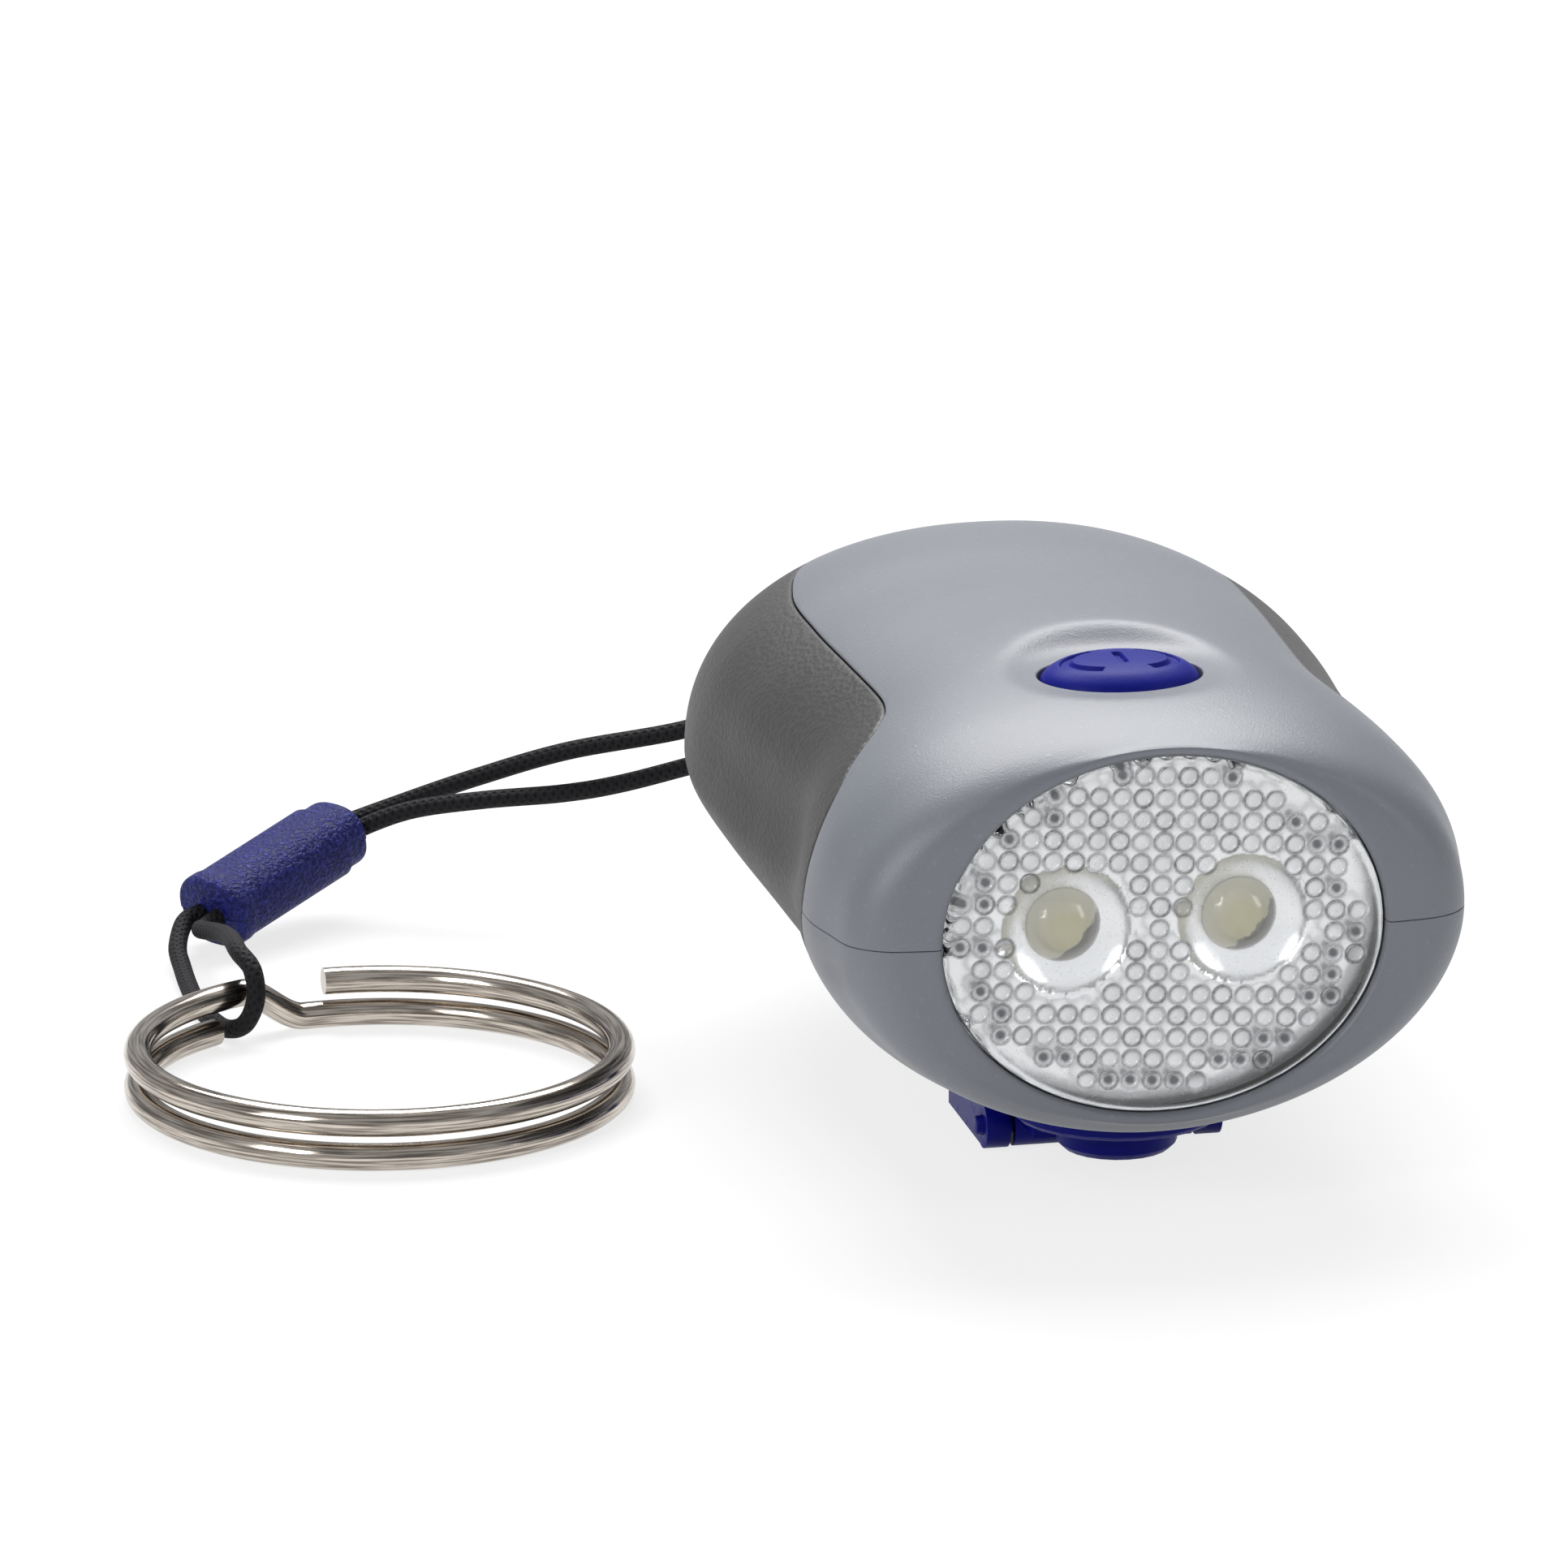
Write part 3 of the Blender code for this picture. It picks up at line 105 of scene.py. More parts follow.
# %% A socket with Python's arithmetic
class Wire:
    """One output socket of a material's nodes. Sums and products of wires add Math nodes."""

    def __init__(self, tree, socket=None):
        self.tree = tree
        self.socket = socket

    def node(self, kind, settings=None, sockets=None, out=0):
        """Adds any node: its settings first, then the values or links of its sockets."""
        made = self.tree.nodes.new(kind)
        for name, value in (settings or {}).items():
            setattr(made, name, value)
        for key, value in (sockets or {}).items():
            if isinstance(value, Wire):
                self.tree.links.new(value.socket, made.inputs[key])
            else:
                made.inputs[key].default_value = value
        return Wire(self.tree, made.outputs[out])

    def maths(self, operation, *values):
        """A Math node on the given wires or numbers."""
        return self.node("ShaderNodeMath", {"operation": operation}, dict(enumerate(values)))

    def __add__(self, other):
        return self.maths("ADD", self, other)

    def __sub__(self, other):
        return self.maths("SUBTRACT", self, other)

    def __rsub__(self, other):
        return self.maths("SUBTRACT", other, self)

    def __mul__(self, other):
        return self.maths("MULTIPLY", self, other)

    def __pow__(self, other):
        return self.maths("POWER", self, other)

    def __abs__(self):
        return self.maths("ABSOLUTE", self)

    __radd__ = __add__
    __rmul__ = __mul__

    def sine(self):
        """Sine of this wire in radians."""
        return self.maths("SINE", self)

    def clamped(self):
        """This wire, held between 0 and 1."""
        return self.node("ShaderNodeClamp", {}, {0: self})

    def step(self, low, high):
        """0 below low, 1 above high, and a smooth ramp between."""
        return self.node("ShaderNodeMapRange", {"interpolation_type": "SMOOTHSTEP"},
                         {0: self, 1: low, 2: high})

    def blend(self, first, second):
        """The first colour where this wire is 0 and the second where it is 1."""
        pair = [value if isinstance(value, Wire) else (*value, 1) for value in (first, second)]
        return self.node("ShaderNodeMix", {"data_type": "RGBA"}, {0: self, 6: pair[0], 7: pair[1]}, 2)

    def parts(self):
        """The three numbers of these coordinates, each as a wire."""
        first = self.node("ShaderNodeSeparateXYZ", {}, {0: self})
        return [Wire(self.tree, out) for out in first.socket.node.outputs]

    def noise(self, scale, detail=2.0):
        """Noise of about the given number of lumps per metre over these coordinates, from 0 to 1."""
        return self.node("ShaderNodeTexNoise", {}, {"Vector": self, "Scale": scale, "Detail": detail})

    def cells(self, scale):
        """Distance from the nearest of scattered points, for a grain of round cells."""
        return self.node("ShaderNodeTexVoronoi", {}, {"Vector": self, "Scale": scale})

    def relief(self, distance, strength=1.0):
        """This height, where 1 stands for the distance in metres, as a bumped normal."""
        return self.node("ShaderNodeBump", {},
                         {"Height": self, "Distance": distance, "Strength": strength})


def begin(name, source="Object"):
    """A new material, and the wire of the coordinates that its pattern follows."""
    made = bpy.data.materials.new(name)
    made.use_nodes = True
    return made, Wire(made.node_tree).node("ShaderNodeTexCoord", out=source)


def shade(made, sockets):
    """Gives sockets of the material's Principled shader a value or a wire."""
    shader = made.node_tree.nodes["Principled BSDF"]
    for key, value in sockets.items():
        if isinstance(value, Wire):
            made.node_tree.links.new(value.socket, shader.inputs[key])
        else:
            shader.inputs[key].default_value = value
    return made


# %% [markdown]
# ## Meshes from arrays
# Most shapes here are a grid: rows along the piece, columns round it. One helper numbers the
# quads of a grid. Others put arrays into a mesh, close its poles and seams, mark the edges that
# turn more than an angle as sharp, and make the object.


# %% Faces of a grid and of an end
def grid_faces(rows, columns, wrap=False):
    """Quads between neighbours of a grid that is numbered row by row. With wrap, the last column
    joins the first."""
    row, column = np.meshgrid(np.arange(rows - 1), np.arange(columns if wrap else columns - 1),
                              indexing="ij")
    beside = (column + 1) % columns
    return np.stack([row * columns + column, (row + 1) * columns + column,
                     (row + 1) * columns + beside, row * columns + beside], -1).reshape(-1, 4)


def halved(quads):
    """Each quad as two triangles."""
    return np.vstack([quads[:, [0, 1, 2]], quads[:, [0, 2, 3]]])


def fan(centre, ring):
    """Triangles from one point to each side of a closed ring of points."""
    return np.stack([ring * 0 + centre, ring, np.roll(ring, -1)], -1)


# %% Meshes and objects
MERGE = 0.000002


def new_mesh(name, points, faces):
    """A mesh from points in millimetres and a list of faces."""
    data = bpy.data.meshes.new(name)
    data.from_pydata(metres(points).tolist(), [], faces)
    return data


def repair(data, merge, outwards):
    """Merges points that meet and drops loose ones; turns the faces of a closed mesh outwards."""
    work = bmesh.new()
    work.from_mesh(data)
    if merge:
        bmesh.ops.remove_doubles(work, verts=work.verts, dist=MERGE)
        loose = [vert for vert in work.verts if not vert.link_faces]
        bmesh.ops.delete(work, geom=loose, context="VERTS")
    if outwards:
        bmesh.ops.recalc_face_normals(work, faces=work.faces)
    work.to_mesh(data)
    work.free()


def dress(name, data, finish, body, sharp):
    """The mesh as a piece: smooth but for edges that turn more than sharp degrees, with its
    finish, riding on its body."""
    data.polygons.foreach_set("use_smooth", [True] * len(data.polygons))
    data.set_sharp_from_angle(angle=math.radians(sharp))
    data.materials.append(finish)
    made = new_object(name, data)
    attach(made, body)
    print(name, "faces:", len(data.polygons))
    return made


def build(name, points, faces, finish, body, outward=None, sharp=50):
    """A piece from points in millimetres. outward holds a direction for each point that its faces
    should follow. Without it, faces is a list, and the piece is closed."""
    if outward is not None:
        corners = points[faces[:, :3]]
        across = np.cross(corners[:, 1] - corners[:, 0], corners[:, 2] - corners[:, 0])
        if (across * outward[faces[:, 0]]).sum() < 0:
            faces = faces[:, ::-1]
        faces = faces.tolist()
    data = new_mesh(name, points, faces)
    repair(data, merge=True, outwards=outward is None)
    return dress(name, data, finish, body, sharp)


# %% Smooth curves
def smooth(t):
    """t^2 (3 - 2t): from 0 to 1 with a level start and end."""
    return t * t * (3 - 2 * t)


def smooth_line(knots, counts):
    """Curve through rows of numbers. Between rows b and c, with a before and d after, the row at t
    is half of 2b + (c - a)t + (2a - 5b + 4c - d)t^2 + (3b - a - 3c + d)t^3. The first and last
    rows only steer it; counts gives the number of rows for each span."""
    span = np.repeat(np.arange(1, len(knots) - 2), counts)
    t = np.concatenate([np.arange(count) / count for count in counts])[:, None]
    a, b, c, d = (knots[span + k] for k in (-1, 0, 1, 2))
    line = 0.5 * (2 * b + (c - a) * t + (2 * a - 5 * b + 4 * c - d) * t ** 2
                  + (3 * b - a - 3 * c + d) * t ** 3)
    return np.vstack([line, knots[-2]])


def open_line(points, per_span):
    """The same curve through open points, carried straight on past both ends."""
    points = np.asarray(points, float)
    knots = np.vstack([2 * points[0] - points[1], points, 2 * points[-1] - points[-2]])
    return smooth_line(knots, [per_span] * (len(points) - 1))


# %% [markdown]
# ## Braided cord
# The cord is 1.2 mm across, limp and black. One length runs from the lock round the steel pin in
# the tail notch and back into the lock; the other runs from the lock's mouth round the wire of
# the split ring and back. Each lies where its solid does. The braid is two families of strands
# that wind round the cord in opposite directions, drawn on the tube's own UV map, whose first
# number goes round the cord and whose second counts centimetres along it.


# %% Tube along a path
CM_PER_MM = 0.1


def tube(name, line, radius, finish, body, around=16):
    """Sweeps a circle: at each point of the line, two directions square to it are carried on from
    the last point without twist, and the ring is point + radius (cos a side + sin a top)."""
    ahead = np.gradient(line, axis=0)
    ahead /= np.linalg.norm(ahead, axis=1)[:, None]
    side = np.zeros_like(line)
    start = np.cross(ahead[0], (0, 0, 1.0))
    side[0] = start / np.linalg.norm(start)
    for k in range(1, len(line)):
        carried = side[k - 1] - ahead[k] * (side[k - 1] @ ahead[k])
        side[k] = carried / np.linalg.norm(carried)
    top = np.cross(ahead, side)
    angle = np.arange(around) / around * 2 * math.pi
    rings = (line[:, None] + radius * (np.cos(angle)[None, :, None] * side[:, None]
                                       + np.sin(angle)[None, :, None] * top[:, None]))
    points = np.vstack([rings.reshape(-1, 3), line[:1], line[-1:]])
    ring = np.arange(around)
    last = (len(line) - 1) * around + ring
    caps = np.vstack([fan(len(points) - 2, ring), fan(len(points) - 1, last[::-1])])
    data = new_mesh(name, points, grid_faces(len(line), around, wrap=True).tolist() + caps.tolist())
    travel = np.concatenate([[0], np.cumsum(np.linalg.norm(np.diff(line, axis=0), axis=1))])
    row, column = np.meshgrid(np.arange(len(line) - 1), ring, indexing="ij")
    corner_row = np.stack([row, row + 1, row + 1, row], -1).reshape(-1)
    corner_column = np.stack([column, column, column + 1, column + 1], -1).reshape(-1)
    marks = np.zeros((len(data.loops), 2))
    marks[:len(corner_row), 0] = corner_column / around
    marks[:len(corner_row), 1] = travel[corner_row] * CM_PER_MM
    data.uv_layers.new(name="along").data.foreach_set("uv", marks.reshape(-1))
    repair(data, merge=False, outwards=True)
    return dress(name, data, finish, body, 60), float(travel[-1])


# %% Braid finish
RIDGES_ROUND = 6
RIDGES_PER_CM = 17


def braid_finish():
    """Height is one of two crossed sets of ridges, |sin(turns + length)| or |sin(turns - length)|.
    The sign of sin(2 turns) sin(2 length) tells which of them lies on top. The colour follows the
    height as painted light on the ridges and painted shade between them."""
    made, uv = begin("braided_cord", "UV")
    turns, length, _ = uv.parts()
    turns = turns * (RIDGES_ROUND * math.pi)
    length = length * (RIDGES_PER_CM * math.pi)
    over = ((turns * 2).sine() * (length * 2).sine()).step(-0.15, 0.15)
    height = abs((turns + length).sine()) * over + abs((turns - length).sine()) * (1 - over)
    fuzz = uv.node("ShaderNodeTexCoord", out="Object").noise(9000)
    # Painted light and shade: the colour is paler on the ridges and darker between them
    colour = (height * 0.7 + fuzz * 0.3).clamped().blend((0.0015, 0.0015, 0.002), (0.011, 0.011, 0.013))
    return shade(made, {"Base Color": colour, "Roughness": 0.6 + fuzz * 0.2,
                        "Specular IOR Level": 0.2, "Normal": (height + fuzz * 0.25).relief(0.00012)})


braid = braid_finish()

# %% The lock's own directions
LOCK_MOUTH = np.array([-46.3, 66.8, 2.5])
LOCK_REAR = np.array([-36.4, 73.9, 5.45])
LOCK_RUN = float(np.linalg.norm(LOCK_REAR - LOCK_MOUTH))
lock_along = (LOCK_REAR - LOCK_MOUTH) / LOCK_RUN
lock_across = np.array([lock_along[1], -lock_along[0], 0.0])
lock_across /= np.linalg.norm(lock_across)
lock_up = np.cross(lock_across, lock_along)


def in_lock(s, w):
    """A point s along the lock from its mouth and w across."""
    return LOCK_MOUTH + lock_along * s + lock_across * w


# %% The two cords
CORD_RADIUS = 0.6
ROWS_PER_SPAN = 14
body_route = [
    in_lock(LOCK_RUN - 2, -0.75), in_lock(LOCK_RUN, -0.75), (-32.2, 74.3, 7.0), (-27.8, 71.6, 9.2),
    (-22.4, 69.1, 11.3), (-14.85, 66.8, 13.0), (-9.0, 64.9, 15.4), (-4.0, 62.9, 18.6),
    (-1.5, 61.2, 20.0), (-0.7, 59.6, 20.35), (-0.6, 57.8, 20.35), (-0.5, 56.0, 19.65),
    (-0.45, 55.25, 17.8), (-0.45, 56.0, 15.95), (-0.6, 57.8, 15.25), (-0.8, 59.6, 15.2),
    (-1.7, 61.4, 14.9), (-4.4, 63.0, 14.0), (-9.3, 65.0, 12.3), (-14.9, 66.7, 10.5),
    (-19.4, 67.6, 9.3), (-23.0, 68.3, 8.7), (-27.9, 69.6, 8.2), (-32.4, 71.6, 7.2),
    in_lock(LOCK_RUN, 0.75), in_lock(LOCK_RUN - 2, 0.75)]
ring_route = [
    in_lock(1.6, 0.75), in_lock(0, 0.75), in_lock(-1.5, 0.9), (-47.45, 63.3, 2.6), (-47.0, 59.5, 3.5),
    (-47.1, 55.2, 4.5), (-47.45, 51.5, 5.25), (-47.6, 48.75, 5.45), (-47.05, 47.0, 4.75),
    (-47.0, 46.25, 3.05), (-47.6, 46.75, 1.35), (-48.5, 48.25, 0.64), (-49.2, 51.0, 0.64),
    (-49.4, 54.0, 0.64), (-49.3, 57.5, 0.64), (-49.1, 61.0, 0.8), (-48.9, 64.0, 1.3),
    in_lock(-1.5, -0.85), in_lock(0, -0.75), in_lock(1.6, -0.75)]
body_line = open_line(body_route, ROWS_PER_SPAN)
ring_line = open_line(ring_route, ROWS_PER_SPAN)
body_cord, body_run = tube("cord_to_torch", body_line, CORD_RADIUS, braid, "torch")
ring_cord, ring_run = tube("cord_to_ring", ring_line, CORD_RADIUS, braid, "torch")
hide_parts("cord_body_loop")
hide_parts("cord_ring_loop")
print("cords:", round(body_run, 1), "and", round(ring_run, 1), "mm")

# %% [markdown]
# ## Moulded grey shells
# The body is a rounded egg that was moulded in two halves, split at the height of its axis. Its
# cross-sections are superellipses: an ellipse whose power is a little over or under 2, so that it
# is fuller or leaner. The sizes of fourteen sections are joined by a smooth curve along the body.
# The front rows turn in over a rounded rim and back to the lens seat, and the button sits in a
# shallow dish that is blended in by a soft minimum of the two heights.

# %% Sections of the body: place along it, half width, reach up and down, power above and below
SECTIONS = np.array([
    (0, 14.25, 11.7, 11.7, 2, 2), (0.5, 17.1, 11.75, 11.9, 2.03, 1.98),
    (2, 18.84, 12.2, 12.8, 2.08, 1.94), (4.5, 19.51, 12.83, 13.35, 2.14, 1.91),
    (8, 20.1, 13.43, 13.91, 2.17, 1.89), (13, 19.82, 13.95, 14.37, 2.17, 1.89),
    (19, 18.95, 14.3, 14.2, 2.17, 1.89), (26, 19.44, 14.2, 12.7, 2.17, 1.89),
    (34, 20.25, 13.95, 10.2, 2.17, 1.89), (42, 20.25, 13.7, 8.2, 2.17, 1.89),
    (50, 18.42, 12.5, 7.2, 2.17, 1.89), (56, 13.95, 9.3, 6.0, 2.17, 1.89),
    (59.5, 9.14, 6.3, 4.2, 2.1, 1.95), (BODY_LENGTH, 0, 0, 0, 2, 2)], float)
ROWS_BETWEEN = [8, 8, 8, 10, 14, 16, 16, 18, 18, 18, 16, 12, 12]
LIP = np.array([
    (2.4, 13.67, 11.18, 11.18, 2, 2), (0.3, 13.67, 11.18, 11.18, 2, 2),
    (0.12, 13.69, 11.2, 11.2, 2, 2), (0.03, 13.76, 11.27, 11.27, 2, 2),
    (0.0, 13.87, 11.38, 11.38, 2, 2), (0.0, 14.06, 11.54, 11.54, 2, 2)])
COLUMNS = 384
BELLY_ROW = 60


def body_grid():
    """Rows of the body from lens seat to tail, with x = width |cos a|^(2/n) and
    z = reach |sin a|^(2/n), both signed."""
    past_tail = SECTIONS[-2] * (1, -1, -1, -1, 1, 1)
    knots = np.vstack([2 * SECTIONS[0] - SECTIONS[1], SECTIONS, past_tail])
    rows = np.vstack([LIP, smooth_line(knots, ROWS_BETWEEN)])
    angle = (np.arange(COLUMNS) + 0.5) / COLUMNS * 2 * math.pi
    above = np.sin(angle) > 0
    power = 2 / np.where(above, rows[:, 4:5], rows[:, 5:6])
    reach = np.where(above, rows[:, 2:3], rows[:, 3:4])
    x = rows[:, 1:2] * np.sign(np.cos(angle)) * np.abs(np.cos(angle)) ** power
    z = reach * np.sign(np.sin(angle)) * np.abs(np.sin(angle)) ** power
    return np.stack([x, rows[:, 0:1] + 0 * x, AXIS + z], -1)


def eased(grid, first, last, times):
    """Rounds the corner between rows by replacing each row by a quarter, half, quarter mean, again
    and again."""
    for _ in range(times):
        grid[first:last] = (grid[first - 1:last - 1] + 2 * grid[first:last]
                            + grid[first + 1:last + 1]) / 4
    return grid


# %% The button's dish
BUTTON_Y = 12
DISH_OVAL = 0.84
DISH = open_line([(0, 30.78), (4.5, 30.8), (6.2, 30.93), (7.4, 31.4), (9.2, 32.6), (12, 34.8)], 12)
NO_DISH = 60
SOFTNESS = 0.2
TOP_FROM = AXIS + 6


def dished(grid):
    """On the top, the soft minimum of the body's height h and the dish's height e:
    -k log(exp(-h/k) + exp(-e/k))."""
    x, y, z = grid[..., 0], grid[..., 1], grid[..., 2]
    radius = np.hypot(x, (y - BUTTON_Y) / DISH_OVAL)
    dish = np.interp(radius, DISH[:, 0], DISH[:, 1], right=NO_DISH)
    soft = -SOFTNESS * np.logaddexp(-z / SOFTNESS, -dish / SOFTNESS)
    grid[..., 2] = np.where(z > TOP_FROM, soft, z)
    return grid


def outward_of(grid):
    """Unit normals from the cross product of the two directions of a grid that wraps round."""
    round_it = np.roll(grid, -1, axis=1) - np.roll(grid, 1, axis=1)
    across = np.cross(round_it, np.gradient(grid, axis=0))
    if (across[BELLY_ROW] * (grid[BELLY_ROW] - grid[BELLY_ROW].mean(0))).sum() < 0:
        across = -across
    across[-1] = (0, 1, 0)
    return across / np.maximum(np.linalg.norm(across, axis=2), 1e-9)[..., None]


skin_grid = dished(eased(body_grid(), first=2, last=12, times=3))
skin_points = np.concatenate([skin_grid, outward_of(skin_grid)], -1).reshape(-1, 6)
skin_faces = halved(grid_faces(len(skin_grid), COLUMNS, wrap=True))
print("body grid:", skin_grid.shape[:2], "lowest", round(float(skin_grid[..., 2].min()), 2))

# %% [markdown]
# ## Cutting openings in a skin
# The grip recesses, the notch, the button hole, the crank pocket and the seam all end the skin
# along a clean curve with a small rounded edge. Booleans could do it, but the shell is one skin
# and the curves are known as distances, so each triangle that a distance's zero line crosses is
# divided along that line. The new border then gets rows of wall: a quarter-round edge, then the
# depth of the opening. A point of a skin is six numbers: its place and its normal.


# %% Trim a skin along a distance
def trimmed(points, faces, keep):
    """Keeps the side of a triangle mesh where keep is above 0. A crossed edge gets a point at the
    share k0 / (k0 - k1) from its kept end, and the border comes back as pairs of such points."""
    inside = keep[faces] > 0
    count = inside.sum(1)

    def rolled(rows, lead):
        return np.take_along_axis(rows, (lead[:, None] + np.arange(3)) % 3, 1)

    one = rolled(faces[count == 1], inside[count == 1].argmax(1))
    two = rolled(faces[count == 2], (~inside[count == 2]).argmax(1))
    edges = np.vstack([one[:, [0, 1]], one[:, [0, 2]], two[:, [1, 0]], two[:, [2, 0]]])
    pairs, where = np.unique(edges, axis=0, return_inverse=True)
    where = where.reshape(-1) + len(points)
    share = keep[pairs[:, 0]] / (keep[pairs[:, 0]] - keep[pairs[:, 1]])
    fresh = points[pairs[:, 0]] + (points[pairs[:, 1]] - points[pairs[:, 0]]) * share[:, None]
    n, m = len(one), len(two)
    ab, ac, ba, ca = where[:n], where[n:2 * n], where[2 * n:2 * n + m], where[2 * n + m:]
    kept = np.vstack([faces[count == 3], np.stack([one[:, 0], ab, ac], -1),
                      np.stack([two[:, 1], two[:, 2], ca], -1), np.stack([two[:, 1], ca, ba], -1)])
    border = np.vstack([np.stack([ac, ab], -1), np.stack([ba, ca], -1)])
    return np.vstack([points, fresh]), kept, border


def border_of(border):
    """The points of a border once each, and its pairs as places among them."""
    rim, pairs = np.unique(border, return_inverse=True)
    return rim, pairs.reshape(-1, 2)


NUDGES = np.eye(6)[:3] * 0.01


def cut_out(points, faces, distance, edge, deeper):
    """Trims where distance(points) falls under the edge radius, then adds wall rows: a quarter
    round of that radius, and one row for each function in deeper, which moves (points, normals)."""
    points, faces, border = trimmed(points, faces, distance(points) - edge)
    rim, pairs = border_of(border)
    at, normal = points[rim, :3], points[rim, 3:]
    slope = np.stack([distance(points[rim] + nudge) - distance(points[rim] - nudge)
                      for nudge in NUDGES], -1)
    slope -= normal * (slope * normal).sum(1)[:, None]
    slope /= np.maximum(np.linalg.norm(slope, axis=1), 1e-9)[:, None]
    rows = [at - slope * edge * math.sin(a) - normal * edge * (1 - math.cos(a))
            for a in np.radians([30, 60, 90])]
    for move in deeper:
        rows.append(move(rows[-1], normal))
    last = rim
    for row in rows:
        fresh = len(points) + np.arange(len(rim))
        points = np.vstack([points, np.hstack([row, normal])])
        wall = [last[pairs[:, 0]], last[pairs[:, 1]], fresh[pairs[:, 1]], fresh[pairs[:, 0]]]
        faces = np.vstack([faces, halved(np.stack(wall, -1))])
        last = fresh
    return points, faces


# %% Ways for a wall to go
def inward(depth):
    """A wall row that lies the depth under the skin."""
    return lambda at, normal: at - normal * depth


def to_plane(axis, value):
    """A wall row that runs straight to a plane square to one axis."""
    return lambda at, normal: np.where(np.arange(3) == axis, value, at)


def to_point(x, y, z):
    """A wall row that closes a floor in one point."""
    return lambda at, normal: at * 0 + (x, y, z)


# %% The line of the soft grips, in side view
PAST_TAIL = BODY_LENGTH + 3
GRIP_TOP = 28.4
GRIP_BASE = 15.2
grip_knots = [(PAST_TAIL, GRIP_TOP), (50, GRIP_TOP), (36, GRIP_TOP), (22, GRIP_TOP), (16.2, 28.36),
              (14.2, 27.9), (13.1, 27.15), (12.2, 26.2), (10.7, 24.7), (9.8, 22.7), (9.5, 20.6),
              (9.7, 18.6), (10.8, 15.8), (12.8, 13.2), (16.0, 11.3), (20.5, 10.4), (27.0, 10.4),
              (35.0, 11.4), (43.0, 12.9), (50.0, 14.2), (56.0, 15.0), (PAST_TAIL, GRIP_BASE)]
grip_line = np.vstack([open_line(grip_knots, 6), [(PAST_TAIL + 30, GRIP_BASE), (PAST_TAIL + 30, GRIP_TOP)]])
SPINE = 4.6
HALF_GAP = 0.12


def line_distance(points):
    """Distance over the skin to the grip line, less than 0 inside it. In side view the nearest
    point of each segment is found; the distance is then divided by how much of its direction
    lies in the skin, the root of 1 - (direction . normal)^2."""
    flat = points[:, 1:3]
    best = np.full(len(flat), 1e9)
    nearest = np.zeros_like(flat)
    inside = np.zeros(len(flat), bool)
    for start, end in zip(grip_line, np.roll(grip_line, -1, axis=0)):
        run = end - start
        t = np.clip(((flat - start) @ run) / (run @ run), 0, 1)
        foot = start + t[:, None] * run
        gap = np.linalg.norm(flat - foot, axis=1)
        closer = gap < best
        best = np.where(closer, gap, best)
        nearest = np.where(closer[:, None], foot, nearest)
        crosses = (start[1] > flat[:, 1]) != (end[1] > flat[:, 1])
        reach = start[0] + (flat[:, 1] - start[1]) * run[0] / (run[1] + 1e-12)
        inside ^= crosses & (flat[:, 0] < reach)
    way = (flat - nearest) / np.maximum(best, 1e-9)[:, None]
    lean = (way * points[:, 4:6]).sum(1)
    best = best / np.sqrt(np.clip(1 - lean ** 2, 0.15, 1))
    return np.where(inside, -best, best)


def recess_distance(points):
    """The larger of the distance to the grip line and the depth in the spine strip between the
    two grips, less half the gap."""
    return np.maximum(line_distance(points), SPINE - np.abs(points[:, 0])) - HALF_GAP


# %% Grey moulded finish
def shell_finish():
    """Matte cool grey: fine spark-eroded texture, faint clouding, and glossier worn spots."""
    made, point = begin("moulded_grey")
    fine = point.noise(7000, 3)
    cloud = point.noise(90, 3)
    speck = point.noise(2600, 2).step(0.62, 0.75)
    colour = (cloud * 0.7 + fine * 0.3).blend((0.134, 0.144, 0.164), (0.182, 0.193, 0.216))
    worn = (speck * 0.2).blend(colour, (0.26, 0.275, 0.3))
    return shade(made, {"Base Color": worn, "Roughness": 0.36 + fine * 0.14 - speck * 0.04,
                        "Normal": (fine + speck * 0.4).relief(0.00003, 0.6)})


shell_grey = shell_finish()

# %% [markdown]
# ## Both shells from one skin
# The skin is cut once for the grips and the strap notch, then parted at the seam. The upper half
# gets the button hole, the lower half the pocket for the crank hub and four screw wells.

# %% Distances of the openings
FAR = 5.0
WALL = 1.2
NOTCH_HALF_WIDTH = 2.9
NOTCH_BOTTOM = 14.1
NOTCH_TOP = 21.5
NOTCH_FLOOR = 54.2
HOLE_X = 5.04
HOLE_Y = 3.99
HOLE_MEAN = 4.5
HOLE_FLOOR = 28.6
SEAM = 0.02
HUB_POCKET = 7.0
POCKET_TOP = 5.0
SCREW_WELL = 2.1


def notch_distance(points):
    """How far outside the notch's box a point lies: the largest of its distances past the sides."""
    x, y, z = points[:, 0], points[:, 1], points[:, 2]
    outside = np.maximum.reduce([np.abs(x) - NOTCH_HALF_WIDTH, NOTCH_BOTTOM - z, z - NOTCH_TOP])
    return np.where(y > 50, outside, FAR)


def hole_distance(points):
    """About the distance from an oval: the radius as a share of the oval's, less 1, times the
    oval's mean radius."""
    x, y, z = points[:, 0], points[:, 1], points[:, 2]
    share = np.hypot(x / HOLE_X, (y - BUTTON_Y) / HOLE_Y)
    return np.where(z > AXIS, (share - 1) * HOLE_MEAN, FAR)


def well_distance(x, y, radius):
    """Distance from an upright round well in the lower half."""
    return lambda points: np.where(points[:, 2] < AXIS,
                                   np.hypot(points[:, 0] - x, points[:, 1] - y) - radius, FAR)


